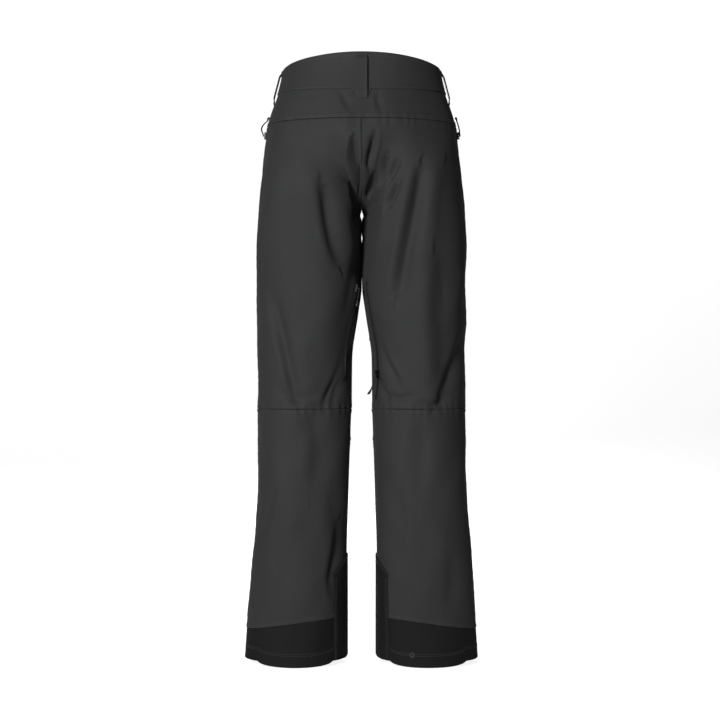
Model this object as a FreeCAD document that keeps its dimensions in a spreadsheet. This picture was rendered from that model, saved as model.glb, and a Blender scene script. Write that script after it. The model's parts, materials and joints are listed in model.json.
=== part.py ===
"""Ski pants, as an assembly of cut fabric panels, trims and fasteners.

Millimetres. +Z is up, the wearer's left is +X and the front of the garment faces -Y. The origin is midway
between front and back, on the centre plane, at the level of the lowest edge of the hems.
"""

import FreeCAD
import Part
import Sketcher
import math
import os

V = FreeCAD.Vector

# Cross-sections of one leg and its half of the hips, from the hem to the top of the waistband:
# level, x of the side seam, x of the inseam or centre seam, y of the back, y of the front and y of the
# side seam.
STATIONS = {
    "hem": (0, 204, 26, 80, -70, 4),
    "hem_top": (70, 199, 26, 78, -74, 3),
    "guard_top": (190, 190, 26, 78, -78, 0),
    "calf": (285, 184.5, 23.5, 80, -84, -5),
    "shin": (365, 183, 21, 80, -90, -8),
    "knee": (443, 182, 18.4, 78, -96, -8),
    "low_thigh": (530, 182, 17.3, 84, -98, -8),
    "mid_thigh": (610, 182, 6.5, 95, -100, -5),
    "inner_touch": (658, 182, 0.6, 104, -102, -3),
    "high_thigh": (720, 183, 0.5, 117, -106, -1),
    "crotch": (790, 180, 0.5, 132, -111, 0),
    "seat": (860, 174, 0.5, 147, -116, 0),
    "hip": (900, 168.5, 0.5, 147, -118, 0),
    "yoke": (935, 165, 0.5, 141, -118, 0),
    "high_hip": (964, 156.5, 0.5, 132, -117, 0),
    "waist_seam": (990, 147, 0.5, 124, -115, 0),
    "waist_top": (1035, 137, 0.5, 114, -112, 0),
    "waist_peak": (1051, 135, 0.5, 112, -111, 0),
}

# The other driving sizes.
SIZES = {
    "depth_shift": (-7.53, "moves the garment in y so that its box is centred"),
    "cloth": (1.5, "thickness of a bonded shell panel"),
    "seam_gap": (0.5, "clearance between two neighbouring panels"),
    "squareness": (0.035, "how far a section's diagonals stand out of an ellipse"),
    "columns": (16, "control points round half a section"),
    "row_step": (26, "largest step between control rows"),
    "crotch_rows": (8, "control rows over the crotch curve"),
    "hip_gap": (2, "clearance under the yokes, where the leg swings"),
    "band_rise": (16, "how much higher the waistband is at centre back"),
    "band_seam_drop": (5, "how much lower the waist seam is at centre back"),
    "heel_rise": (7, "how much higher the hem is away from the heel"),
    "hem_seam_low": (60, "top of the hem band at the side seam"),
    "hem_seam_rise": (22, "how much higher the hem band is at the inseam"),
    "knee_panel_low": (385, "lower seam of the knee panel"),
    "knee_panel_top": (560, "upper seam of the knee panel"),
    "fly_half": (20, "half width of the fly placket"),
    "fly_notch": (22, "half width of the notch in the front panels"),
    "fly_bottom": (873, "lowest edge of the placket"),
    "notch_bottom": (868, "lowest edge of the notch"),
    "slider_long": (13, "length of a zip slider"),
    "slider_half": (5.2, "half width of a zip slider"),
    "channel_half": (3.6, "half width of the channel in a slider"),
    "channel_high": (1.3, "height of the channel in a slider"),
    "slider_high": (2.3, "height of a slider body"),
    "post_x": (2.9, "distance of a slider post from the middle"),
    "post_wide": (1.2, "width of a slider post"),
    "bar_rise": (2, "height of the bar above the slider body"),
    "bar_r": (0.7, "radius of the bar the pull turns on"),
    "eye_r": (0.76, "radius of the hole in a pull"),
    "eye_outer": (1.7, "outer radius of the eye of a pull"),
    "eye_wide": (4.2, "width of the eye of a pull"),
    "pull_start": (1.3, "where the tab of a pull starts, from the bar"),
    "pull_half": (3.2, "half width of a pull at its widest"),
    "pull_thick": (1.8, "thickness of a pull"),
    "pull_long": (33, "length of a pull"),
    "tape_half": (7, "half width of a zip's tape"),
    "coil_half": (2.4, "half width of a zip's coil"),
    "loop_wide": (20, "width of a belt loop"),
    "loop_thick": (1.6, "thickness of a belt loop"),
    "loop_gap": (4.2, "room for a belt under a loop"),
    "loop_foot": (9, "height of the sewn end of a loop"),
    "loop_drop": (16, "how far a belt loop runs down over the yoke"),
    "snap_r": (6, "radius of a snap cap"),
    "snap_high": (2.2, "height of a snap cap"),
    "stud_r": (5, "radius of a snap stud"),
    "stud_high": (1.4, "height of a snap stud"),
    "peg_r": (9, "inner radius of the hanger loop"),
    "ribbon": (1.2, "thickness of the hanger loop's ribbon"),
    "ribbon_wide": (6, "width of the hanger loop's ribbon"),
    "ribbon_tail": (7, "length of the hanger loop's sewn tail"),
    "hanger_level": (1024, "level of the middle of the hanger loop"),
    "gaiter_low": (16, "lower edge of the gaiter"),
    "gaiter_top": (150, "upper edge of the gaiter"),
    "gaiter_deep": (9, "distance of the gaiter inside the shell"),
    "gaiter_thick": (0.8, "thickness of the gaiter's cloth"),
    "elastic_wide": (20, "width of the gaiter's elastic"),
    "elastic_thick": (1.4, "thickness of the gaiter's elastic"),
    "guard_reach": (0.24, "how far round from the inseam the scuff guard goes"),
    "guard_slope": (30, "how much lower the guard's top is at its ends"),
    "guard_gap": (0.6, "clearance under the scuff guard"),
    "guard_thick": (1, "thickness of the scuff guard"),
    "pocket_low": (765, "lower end of a hand pocket's zip"),
    "pocket_top": (922, "upper end of a hand pocket's zip"),
    "pocket_lean": (20, "how much further forward a hand pocket's lower end is"),
    "vent_low": (504, "lower end of a vent's zip"),
    "vent_top": (652, "upper end of a vent's zip"),
    "vent_back": (52, "distance of the vent behind the side seam's line"),
    "fly_low": (892, "lower end of the fly's zip"),
    "fly_top": (974, "upper end of the fly's zip"),
    "eyelet_outer": (4.6, "outer radius of the heel eyelet"),
    "eyelet_r": (2.3, "hole radius of the heel eyelet"),
    "eyelet_high": (1, "height of the heel eyelet"),
    "hook_wide": (8, "width of a lace hook"),
    "hook_tall": (13, "height of a lace hook"),
    "hook_lip": (6, "height of a lace hook's lip"),
    "hook_plate": (0.9, "thickness of a lace hook"),
    "hook_throat": (2.4, "width of a lace hook's throat"),
}

FIELDS = ("level", "outer", "inner", "back", "front", "seam")

doc = FreeCAD.newDocument("ski_pants")
sheet = doc.addObject("Spreadsheet::Sheet", "Sizes")


def fill_sheet():
    """Write every driving size into the sheet, one row each, with its alias and a note."""
    rows = [(name, value, note) for name, (value, note) in SIZES.items()]
    for name, values in STATIONS.items():
        for field, value in zip(FIELDS, values):
            rows.append((f"{name}_{field}", value, f"{field} of the section at the {name}"))
    for number, (alias, value, note) in enumerate(rows, start=1):
        sheet.set(f"A{number}", note)
        sheet.set(f"B{number}", str(value))
        sheet.setAlias(f"B{number}", alias)
    doc.recompute()


def size(alias):
    """A driving size, read from the sheet."""
    return float(getattr(sheet, alias))


fill_sheet()

CLOTH = size("cloth")
GAP = size("seam_gap")
HALF_GAP = GAP / 2
CROTCH = size("crotch_level")
YOKE = size("yoke_level")
KNEE = size("knee_level")
LEVELS = [size(f"{name}_level") for name in STATIONS]
PROFILES = {field: [size(f"{name}_{field}") for name in STATIONS] for field in FIELDS[1:]}


# ---------------------------------------------------------------- the shape of the garment


def slopes(xs, ys):
    """Slopes of a smooth curve through the points that doesn't overshoot them."""
    steps = [(ys[i + 1] - ys[i]) / (xs[i + 1] - xs[i]) for i in range(len(xs) - 1)]
    inner = [0 if a * b <= 0 else 2 * a * b / (a + b) for a, b in zip(steps, steps[1:])]
    return [steps[0]] + inner + [steps[-1]]


TANGENTS = {field: slopes(LEVELS, values) for field, values in PROFILES.items()}


def profile(field, level):
    """One measure of the garment at any level, smoothly between the stations."""
    values, tangents = PROFILES[field], TANGENTS[field]
    if level <= LEVELS[0]:
        return values[0] + tangents[0] * (level - LEVELS[0])
    if level >= LEVELS[-1]:
        return values[-1]
    i = max(k for k in range(len(LEVELS) - 1) if LEVELS[k] <= level)
    span = LEVELS[i + 1] - LEVELS[i]
    p = (level - LEVELS[i]) / span
    start = (1 + 2 * p) * (1 - p) ** 2 * values[i] + p * (1 - p) ** 2 * span * tangents[i]
    end = p * p * (3 - 2 * p) * values[i + 1] - p * p * (1 - p) * span * tangents[i + 1]
    return start + end


def opening(level, part):
    """0 where the leg is a closed tube, 1 where it has opened into half of the hips. The centre seam turns
    on a quarter circle, and the cloth away from it opens more slowly."""
    height = min(max((level - CROTCH) / (YOKE - CROTCH), 0.0), 1.0)
    at_seam = math.sqrt(1 - (1 - height) ** 2)
    at_side = height * height * (3 - 2 * height)
    nearness = math.exp(-((part / 0.15) ** 2))
    return nearness * at_seam + (1 - nearness) * at_side


def section_point(level, around):
    """A point of the left half's section. around is 0 at the inseam or centre back, 1 at the side seam and
    2 at the inseam or centre front."""
    outer, inner, seam = (profile(field, level) for field in ("outer", "inner", "seam"))
    reach = profile("back", level) - seam if around <= 1 else profile("front", level) - seam
    part = around if around <= 1 else 2 - around
    leg_angle = math.pi * part
    hip_angle = leg_angle / 2
    leg_swell = 1 + size("squareness") * math.sin(2 * leg_angle) ** 2
    hip_swell = 1 + size("squareness") * math.sin(2 * hip_angle) ** 2
    half = (outer - inner) / 2
    leg_x = (outer + inner) / 2 - half * math.cos(leg_angle) * leg_swell
    leg_y = reach * math.sin(leg_angle) * leg_swell
    hip_x = inner + (outer - inner) * math.sin(hip_angle) * hip_swell
    hip_y = reach * math.cos(hip_angle) * hip_swell
    share = opening(level, part)
    return (1 - share) * leg_x + share * hip_x, seam + (1 - share) * leg_y + share * hip_y


def skin(side, level, around, depth=0.0):
    """A point on the garment, depth mm inside its outer face, on the left (side 1) or right (side -1)."""
    around = min(max(around, 0.0), 2.0)
    step = 1e-3
    low, high = max(around - step, 0.0), min(around + step, 2.0)
    before, after = section_point(level, low), section_point(level, high)
    along_x, along_y = after[0] - before[0], after[1] - before[1]
    length = math.hypot(along_x, along_y)
    x, y = section_point(level, around)
    x += depth * along_y / length
    y -= depth * along_x / length
    return V(side * x, y + size("depth_shift"), level)


def around_at(side_range, level, y):
    """Where round the section a y is, inside a range of around in which y only falls or only rises."""
    low, high = side_range
    rising = section_point(level, high)[1] > section_point(level, low)[1]
    for _ in range(40):
        middle = (low + high) / 2
        if (section_point(level, middle)[1] < y) == rising:
            low = middle
        else:
            high = middle
    return (low + high) / 2


def spread(low, high, step):
    """Evenly spaced numbers from low to high, at most step apart."""
    count = max(3, math.ceil(abs(high - low) / step))
    return [low + (high - low) * i / count for i in range(count + 1)]


def levels_through_crotch(low, high):
    """Control rows from the leg into the hips, close together where the crotch curve turns."""
    rows = spread(low, CROTCH, size("row_step"))
    count = int(size("crotch_rows"))
    rise = YOKE - CROTCH
    rows += [CROTCH + rise * (1 - math.cos(math.pi / 2 * i / count)) for i in range(1, count)]
    return [row for row in rows if row < high - 2] + [high]


# ---------------------------------------------------------------- cloth solids


def spline_knots(count, degree):
    """Clamped even knots and their multiplicities for a row of control points."""
    spans = count - degree
    return list(range(spans + 1)), [degree + 1] + [1] * (spans - 1) + [degree + 1]


def spline_face(net, row_degree=3):
    """A smooth face over a net of control points."""
    row_knots, row_mults = spline_knots(len(net), row_degree)
    column_knots, column_mults = spline_knots(len(net[0]), 3)
    surface = Part.BSplineSurface()
    surface.buildFromPolesMultsKnots(
        net, row_mults, column_mults, row_knots, column_knots, False, False, row_degree, 3
    )
    return surface.toShape()


def cloth_solid(outer, inner):
    """A closed solid between two nets of the same size: an outer face, an inner face and four edges."""
    faces = [spline_face(outer), spline_face(inner)]
    edges = [(outer[0], inner[0]), (outer[-1], inner[-1])]
    for column in (0, -1):
        edges.append(([row[column] for row in outer], [row[column] for row in inner]))
    faces += [spline_face(list(pair), 1) for pair in edges]
    shell = Part.Shell(faces)
    shell.sewShape()
    solid = Part.Solid(shell)
    if solid.Volume < 0:
        solid.reverse()
    return solid


def net(side, rows, start, end, depth):
    """Control points of one side between two places round the section. rows gives the levels at a place."""
    columns = spread(start, end, 1 / size("columns"))
    per_column = [[skin(side, level, a, depth) for level in rows(a)] for a in columns]
    return [list(row) for row in zip(*per_column)]


def two_sided_net(rows, reach, depth):
    """Control points from reach on the left, across the centre back, to reach on the right."""
    columns = spread(0, reach, 1 / size("columns"))[1:]
    left = [[skin(1, level, a, depth) for level in rows(a)] for a in reversed(columns)]
    middle = [V(0, p.y, p.z) for p in (skin(1, level, 0, depth) for level in rows(0))]
    right = [[skin(-1, level, a, depth) for level in rows(a)] for a in columns]
    return [list(row) for row in zip(*(left + [middle] + right))]


def between(low, high, count=4):
    """Rows from a lower edge to an upper edge, each a level or a function of the place round."""

    def rows(around):
        bottom = low(around) if callable(low) else low
        top = high(around) if callable(high) else high
        return [bottom + (top - bottom) * i / count for i in range(count + 1)]

    return rows


def fixed(levels):
    """The same rows everywhere round the section."""
    return lambda around: levels


def panel(side, rows, start, end, depth=0.0, thickness=None):
    """A fabric panel on one side of the garment."""
    thickness = CLOTH if thickness is None else thickness
    return cloth_solid(
        net(side, rows, start, end, depth), net(side, rows, start, end, depth + thickness)
    )


def wide_panel(rows, reach, depth=0.0, thickness=None):
    """A fabric panel that runs across the centre back."""
    thickness = CLOTH if thickness is None else thickness
    return cloth_solid(
        two_sided_net(rows, reach, depth), two_sided_net(rows, reach, depth + thickness)
    )


def strip(side, levels, side_range, middle_y, half_wide, depth, thickness):
    """A ribbon that runs up the garment at a given y."""
    offsets = spread(-half_wide, half_wide, half_wide / 2)

    def sheet_net(at):
        return [
            [skin(side, z, around_at(side_range, z, middle_y(z) + o), at) for o in offsets]
            for z in levels
        ]

    return cloth_solid(sheet_net(depth), sheet_net(depth + thickness))


def add_shape(label, shape):
    """Put a shape made from the sheet's sizes into the document."""
    feature = doc.addObject("Part::Feature", label)
    feature.Label = label
    feature.Shape = shape
    feature.Placement = FreeCAD.Placement()
    NODES.append(feature)
    return feature


NODES = []


# ---------------------------------------------------------------- edges that are not level


def hump(around, width=1.0):
    """1 at centre back, falling smoothly to 0 by the given width."""
    return 0.5 + 0.5 * math.cos(math.pi * min(around / width, 1))


def waist_top(around):
    return size("waist_top_level") + size("band_rise") * hump(around)


def waist_seam(around):
    return size("waist_seam_level") - size("band_seam_drop") * hump(around)


def above(edge, amount):
    """An edge moved up by an amount."""
    return lambda around: edge(around) + amount


def hem_edge(around):
    """The hem, lowest at the heel."""
    return size("heel_rise") * (1 - math.exp(-(((around - 0.5) / 0.36) ** 4)))


def hem_seam(around):
    """The top of the hem band, higher towards the inseam."""
    share = min(max((1 - min(around, 2 - around)) / 0.8, 0), 1)
    return size("hem_seam_low") + size("hem_seam_rise") * share * share * (3 - 2 * share)


# ---------------------------------------------------------------- shell panels


SIDE_SEAM = 1.0
EDGE = 0.0035


def back_panels(side, word):
    """The two back panels of a leg, joined at the knee seam."""
    upper = levels_through_crotch(KNEE + HALF_GAP, YOKE - size("hip_gap") / 2)
    add_shape(f"{word}_back_upper_panel", panel(side, fixed(upper), EDGE, SIDE_SEAM - EDGE))
    lower = between(above(hem_seam, HALF_GAP), KNEE - HALF_GAP, 14)
    add_shape(f"{word}_back_lower_panel", panel(side, lower, EDGE, SIDE_SEAM - EDGE))


def notched(shape, bottom):
    """A front piece with the fly's place cut out of it, from a level upwards."""
    notch, tall, deep = size("fly_notch"), 100, 200
    return shape.cut(Part.makeBox(2 * notch, deep, tall, V(-notch, -deep, bottom)))


def front_panels(side, word):
    """The front of a leg: the upper panel with its fly notch, the knee panel and the lower panel."""
    start, end = SIDE_SEAM + EDGE, 2 - EDGE
    upper = levels_through_crotch(size("knee_panel_top") + HALF_GAP, YOKE - size("hip_gap") / 2)
    shape = panel(side, fixed(upper), start, end)
    add_shape(f"{word}_front_upper_panel", notched(shape, size("notch_bottom")))
    knee = between(size("knee_panel_low") + HALF_GAP, size("knee_panel_top") - HALF_GAP, 7)
    add_shape(f"{word}_knee_panel", panel(side, knee, start, end))
    lower = between(above(hem_seam, HALF_GAP), size("knee_panel_low") - HALF_GAP, 12)
    add_shape(f"{word}_front_lower_panel", panel(side, lower, start, end))


def cuffs(side, word):
    """The hem band, the scuff guard over it, and the gaiter with its elastic inside."""
    hem = between(hem_edge, above(hem_seam, -HALF_GAP))
    add_shape(f"{word}_hem_band", panel(side, hem, EDGE, 2 - EDGE))
    near, far = -size("guard_gap"), -size("guard_gap") - size("guard_thick")
    add_shape(f"{word}_scuff_guard", cloth_solid(guard_net(side, near), guard_net(side, far)))
    low, deep, start, end = size("gaiter_low"), size("gaiter_deep"), EDGE, 2 - EDGE
    cloth = between(low, size("gaiter_top"), 5)
    shape = panel(side, cloth, start, end, deep, size("gaiter_thick"))
    add_shape(f"{word}_gaiter", shape)
    elastic = between(low + 1, low + 1 + size("elastic_wide"))
    shape = panel(side, elastic, start, end, deep - 2, size("elastic_thick"))
    add_shape(f"{word}_gaiter_elastic", shape)


def guard_top(around):
    """The top edge of the scuff guard, highest at the inseam."""
    return size("guard_top_level") - size("guard_slope") * (around / size("guard_reach")) ** 2


def guard_net(side, depth):
    """The scuff guard's control points, wrapped round the inseam from the back to the front of the shin."""
    rows = 8
    reach = size("guard_reach")
    columns = spread(-reach, reach, 0.04)
    points = []
    for i in range(rows + 1):
        row = []
        for a in columns:
            around = abs(a)
            low, high = hem_edge(around) + 3, guard_top(around)
            level = low + (high - low) * i / rows
            row.append(skin(side, level, around if a >= 0 else 2 - around, depth))
        points.append(row)
    return points


def yokes():
    """The back yoke in one piece and the two front yokes, under the waistband."""
    low = YOKE + size("hip_gap") / 2
    high = above(waist_seam, -HALF_GAP)
    add_shape("back_yoke", wide_panel(between(low, high), SIDE_SEAM - EDGE))
    for side, word in SIDES:
        shape = panel(side, between(low, high), SIDE_SEAM + EDGE, 2)
        add_shape(f"{word}_front_yoke", notched(shape, low - 10))


def waistband():
    """The waistband: a back, two fronts, and a lining inside them."""
    rows = between(above(waist_seam, HALF_GAP), waist_top)
    add_shape("waistband_back", wide_panel(rows, SIDE_SEAM - EDGE))
    for side, word in SIDES:
        add_shape(f"waistband_{word}_front", panel(side, rows, SIDE_SEAM + EDGE, 2))
    lining = between(above(waist_seam, 2), above(waist_top, -3))
    add_shape("waistband_lining", wide_panel(lining, 2, 3.0, 1.2))


SIDES = ((1, "left"), (-1, "right"))


# ---------------------------------------------------------------- hardware bodies


def new_body(label):
    body = doc.addObject("PartDesign::Body", label)
    body.Label = label
    NODES.append(body)
    return body


def plane_of(body, role):
    return next(f for f in body.Origin.OriginFeatures if f.Role == role)


def new_sketch(body, role, name):
    """A sketch on one of the body's own origin planes."""
    sketch = body.newObject("Sketcher::SketchObject", name)
    sketch.AttachmentSupport = [(plane_of(body, role), "")]
    sketch.MapMode = "FlatFace"
    return sketch


def bind_place(sketch, geometry, vertex, across, up):
    """Hold a vertex at two expressions of the sheet's sizes."""
    for kind, expression in (("DistanceX", across), ("DistanceY", up)):
        index = sketch.addConstraint(Sketcher.Constraint(kind, geometry, vertex, 1.0))
        sketch.setExpression(f"Constraints[{index}]", expression)


def outline(sketch, corners):
    """A closed outline of straight lines whose corners are expressions."""
    values = [(evaluate(sketch, across), evaluate(sketch, up)) for across, up in corners]
    count = len(corners)
    for i in range(count):
        a, b = values[i], values[(i + 1) % count]
        sketch.addGeometry(Part.LineSegment(V(*a, 0), V(*b, 0)), False)
    for i in range(count):
        sketch.addConstraint(Sketcher.Constraint("Coincident", i, 2, (i + 1) % count, 1))
    for i, (across, up) in enumerate(corners):
        bind_place(sketch, i, 1, across, up)


def circle(sketch, across, up, radius):
    """A circle whose centre and radius are expressions."""
    centre = V(evaluate(sketch, across), evaluate(sketch, up), 0)
    index = sketch.addGeometry(Part.Circle(centre, V(0, 0, 1), evaluate(sketch, radius)), False)
    bind_place(sketch, index, 3, across, up)
    constraint = sketch.addConstraint(Sketcher.Constraint("Radius", index, 1.0))
    sketch.setExpression(f"Constraints[{constraint}]", radius)


def evaluate(thing, expression):
    return float(thing.evalExpression(expression))


def pad(body, sketch, length, name):
    """Pad a sketch equally to both sides of its plane."""
    feature = body.newObject("PartDesign::Pad", name)
    feature.Profile = sketch
    feature.Midplane = True
    feature.setExpression("Length", length)
    sketch.Visibility = False
    return feature


def frame_at(origin, along, outward):
    """A placement whose local Y runs along, Z runs outward and X across."""
    up = V(along).normalize()
    out = V(outward)
    out = (out - up * out.dot(up)).normalize()
    across = up.cross(out)
    turn = FreeCAD.Rotation(across, up, out, "ZYX")
    return FreeCAD.Placement(origin, turn)


def slider_body(label, placement):
    """A zip slider: a saddle over the coil with two posts and the bar that its pull turns on."""
    body = new_body(label)
    saddle = new_sketch(body, "XZ_Plane", label + "_saddle")
    half, channel = "Sizes.slider_half", "Sizes.channel_half"
    tall, room = "Sizes.slider_high", "Sizes.channel_high"
    outline(
        saddle,
        [
            (half, "0"),
            (half, tall),
            ("-" + half, tall),
            ("-" + half, "0"),
            ("-" + channel, "0"),
            ("-" + channel, room),
            (channel, room),
            (channel, "0"),
        ],
    )
    pad(body, saddle, "Sizes.slider_long", label + "_block")
    for sign, word in ((1, "a"), (-1, "b")):
        post = body.newObject("PartDesign::AdditiveBox", f"{label}_post_{word}")
        post.setExpression("Length", "Sizes.post_wide")
        post.setExpression("Width", "2 * Sizes.bar_r")
        post.setExpression("Height", "Sizes.bar_rise + Sizes.bar_r")
        place = f"{sign} * Sizes.post_x - Sizes.post_wide / 2"
        post.setExpression("Placement.Base.x", place)
        post.setExpression("Placement.Base.y", "-Sizes.bar_r")
        post.setExpression("Placement.Base.z", "Sizes.slider_high")
    bar = body.newObject("PartDesign::AdditiveCylinder", label + "_bar")
    bar.Placement.Rotation = FreeCAD.Rotation(V(0, 1, 0), 90)
    bar.setExpression("Radius", "Sizes.bar_r")
    bar.setExpression("Height", "2 * Sizes.post_x")
    bar.setExpression("Placement.Base.x", "-Sizes.post_x")
    bar.setExpression("Placement.Base.z", "Sizes.slider_high + Sizes.bar_rise")
    body.Placement = placement
    return body


def pull_body(label, placement):
    """A zip pull: an eye round the slider's bar and a tapered tab along local Y."""
    body = new_body(label)
    eye = new_sketch(body, "YZ_Plane", label + "_eye")
    circle(eye, "0", "0", "Sizes.eye_outer")
    circle(eye, "0", "0", "Sizes.eye_r")
    pad(body, eye, "Sizes.eye_wide", label + "_ring")
    tab = new_sketch(body, "XY_Plane", label + "_tab")
    half, thin, long = "Sizes.pull_half", "0.55 * Sizes.pull_half", "Sizes.pull_long"
    outline(
        tab,
        [
            (thin, "Sizes.pull_start"),
            (thin, f"0.55 * {long}"),
            (half, f"0.7 * {long}"),
            (half, f"0.94 * {long}"),
            (thin, long),
            ("-" + thin, long),
            ("-" + half, f"0.94 * {long}"),
            ("-" + half, f"0.7 * {long}"),
            ("-" + thin, f"0.55 * {long}"),
            ("-" + thin, "Sizes.pull_start"),
        ],
    )
    pad(body, tab, "Sizes.pull_thick", label + "_blade")
    body.Placement = placement
    return body


COIL_CLEAR = 1.0
AXES = {}


def record_axes(name, bottom, top, bar, placement):
    """Keep the line a slider runs along and the bar its pull turns on."""
    across = placement.Rotation.multVec(V(1, 0, 0))
    AXES[name] = {
        "along": tuple(round(c, 6) for c in (top - bottom).normalize()),
        "travel": round((top - bottom).Length, 3),
        "bar": tuple(round(c, 3) for c in bar),
        "across": tuple(round(c, 6) for c in across),
    }


def zip_set(name, side, side_range, middle_y, low, high, parked, pull_up, half_wide=None):
    """A zip on the garment: tape and coil that follow the cloth, and a slider with its pull on the straight
    line between the zip's ends."""
    half_wide = size("tape_half") if half_wide is None else half_wide
    margin = size("slider_long") / 2 + 4
    levels = spread(low - margin, high + margin, 20)
    tape = strip(side, levels, side_range, middle_y, half_wide, -0.8, 0.5)
    coil = strip(side, levels, side_range, middle_y, size("coil_half"), -1.8, 0.9)
    add_shape(f"{name}_zip", Part.makeCompound([tape, coil]))

    def on_skin(z):
        return skin(side, z, around_at(side_range, z, middle_y(z)))

    bottom, top = on_skin(low), on_skin(high)
    along = (top - bottom).normalize()
    middle_level = (low + high) / 2
    place = around_at(side_range, middle_level, middle_y(middle_level))
    outward = skin(side, middle_level, place, -1) - skin(side, middle_level, place)
    outward = (outward - along * outward.dot(along)).normalize()
    bulge = max((on_skin(z) - bottom).dot(outward) for z in levels)
    start = bottom if parked == "low" else top
    base = start + outward * (bulge + COIL_CLEAR)
    direction = along if pull_up else along * -1
    slider_body(f"{name}_slider", frame_at(base, direction, outward))
    bar = base + outward * (size("slider_high") + size("bar_rise"))
    pull_body(f"{name}_pull", frame_at(bar, direction, outward))
    record_axes(name, bottom, top, bar, frame_at(bar, direction, outward))


def vents_and_pockets(side, word):
    """The hand pocket beside the side seam and the vent on the inner thigh, with what lies behind them."""

    low, top = size("pocket_low"), size("pocket_top")

    def pocket_y(z):
        return -14 - size("pocket_lean") * (top - z) / (top - low)

    zip_set(f"{word}_pocket", side, (1.01, 1.9), pocket_y, low, top, "high", True)
    bag = between(low - 15, top + 4, 7)
    add_shape(f"{word}_pocket_bag", panel(side, bag, 1.12, 1.62, 4.0, 2.4))
    low, top = size("vent_low"), size("vent_top")

    def vent_y(z):
        return profile("seam", z) + size("vent_back")

    parked = "high" if side > 0 else "low"
    zip_set(f"{word}_vent", side, (0.005, 0.45), vent_y, low, top, parked, False, 6)
    mesh = strip(side, spread(low - 16, top + 16, 20), (0.003, 0.48), vent_y, 16, 4.0, 0.7)
    add_shape(f"{word}_vent_mesh", mesh)


def fly():
    """The fly: placket, zip with slider and pull, and the underlap behind it."""
    placket_low = size("fly_bottom")
    high = size("waist_seam_level") - HALF_GAP
    half = size("fly_half")
    add_shape("fly_placket", front_strip(placket_low, high, half, 0.0, CLOTH))
    add_shape("fly_underlap", front_strip(placket_low + 12, high - 2, half - 1, 2.6, 1.2))
    low, top = size("fly_low"), size("fly_top")
    levels = (low - 12, top + 12)
    tape = front_strip(*levels, size("tape_half"), -0.8, 0.5)
    coil = front_strip(*levels, size("coil_half"), -1.8, 0.9)
    add_shape("fly_zip", Part.makeCompound([tape, coil]))
    bottom, end = V(0, front_y(low), low), V(0, front_y(top), top)
    along = (end - bottom).normalize()
    outward = V(0, -1, 0)
    outward = (outward - along * outward.dot(along)).normalize()
    rows = spread(*levels, 8)
    bulge = max((V(0, front_y(z), z) - bottom).dot(outward) for z in rows)
    base = end + outward * (bulge + COIL_CLEAR)
    direction = along * -1
    slider_body("fly_slider", frame_at(base, direction, outward))
    bar = base + outward * (size("slider_high") + size("bar_rise"))
    pull_body("fly_pull", frame_at(bar, direction, outward))
    record_axes("fly", bottom, end, bar, frame_at(bar, direction, outward))


def front_y(level):
    """y of the garment's front at its centre line."""
    return skin(1, level, 2).y


def front_strip(low, high, half, depth, thickness):
    """A ribbon up the centre front that follows the front profile and is straight across."""
    levels = spread(low, high, 12)
    offsets = spread(-half, half, half / 2)

    def sheet_net(at):
        return [[V(x, front_y(z) + at, z) for x in offsets] for z in levels]

    return cloth_solid(sheet_net(depth), sheet_net(depth + thickness))


def belt_loop(label, side, around):
    """A belt loop that stands off the waistband between its two sewn ends."""
    low, high = waist_seam(around) - size("loop_drop"), waist_top(around) - 2
    bottom, top = skin(side, low, around, -0.4), skin(side, high, around, -0.4)
    outward = skin(side, low, around, -1) - skin(side, low, around)
    rows = spread(low, high, 8)
    along = (top - bottom).normalize()
    outward = (outward - along * outward.dot(along)).normalize()
    bulge = max((skin(side, z, around, -0.4) - bottom).dot(outward) for z in rows)
    body = new_body(label)
    bracket = new_sketch(body, "YZ_Plane", label + "_bracket")
    tall = f"{(top - bottom).Length:.3f}"
    thick, room, foot = "Sizes.loop_thick", "Sizes.loop_gap", "Sizes.loop_foot"
    outline(
        bracket,
        [
            ("0", "0"),
            ("0", f"{thick} + 0.5"),
            (foot, f"{room} + {thick}"),
            (f"{tall} - {foot}", f"{room} + {thick}"),
            (tall, f"{thick} + 0.5"),
            (tall, "0"),
            (f"{tall} - 0.6 * {foot}", "0"),
            (f"{tall} - {foot} - 1", room),
            (f"{foot} + 1", room),
            (f"0.6 * {foot}", "0"),
        ],
    )
    pad(body, bracket, "Sizes.loop_wide", label + "_strip")
    foot_place = bottom + outward * max(bulge, 0)
    if around == 0:
        foot_place.x = 0
    body.Placement = frame_at(foot_place, along, outward)


def belt_loops():
    belt_loop("centre_back_belt_loop", 1, 0.0)
    for side, word in SIDES:
        belt_loop(f"{word}_side_belt_loop", side, 1.0)
        belt_loop(f"{word}_front_belt_loop", side, 1.55)


TAB_HINGE_X = 42
TAB_END_X = -26
SNAP_XS = (-4, -17)


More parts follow.
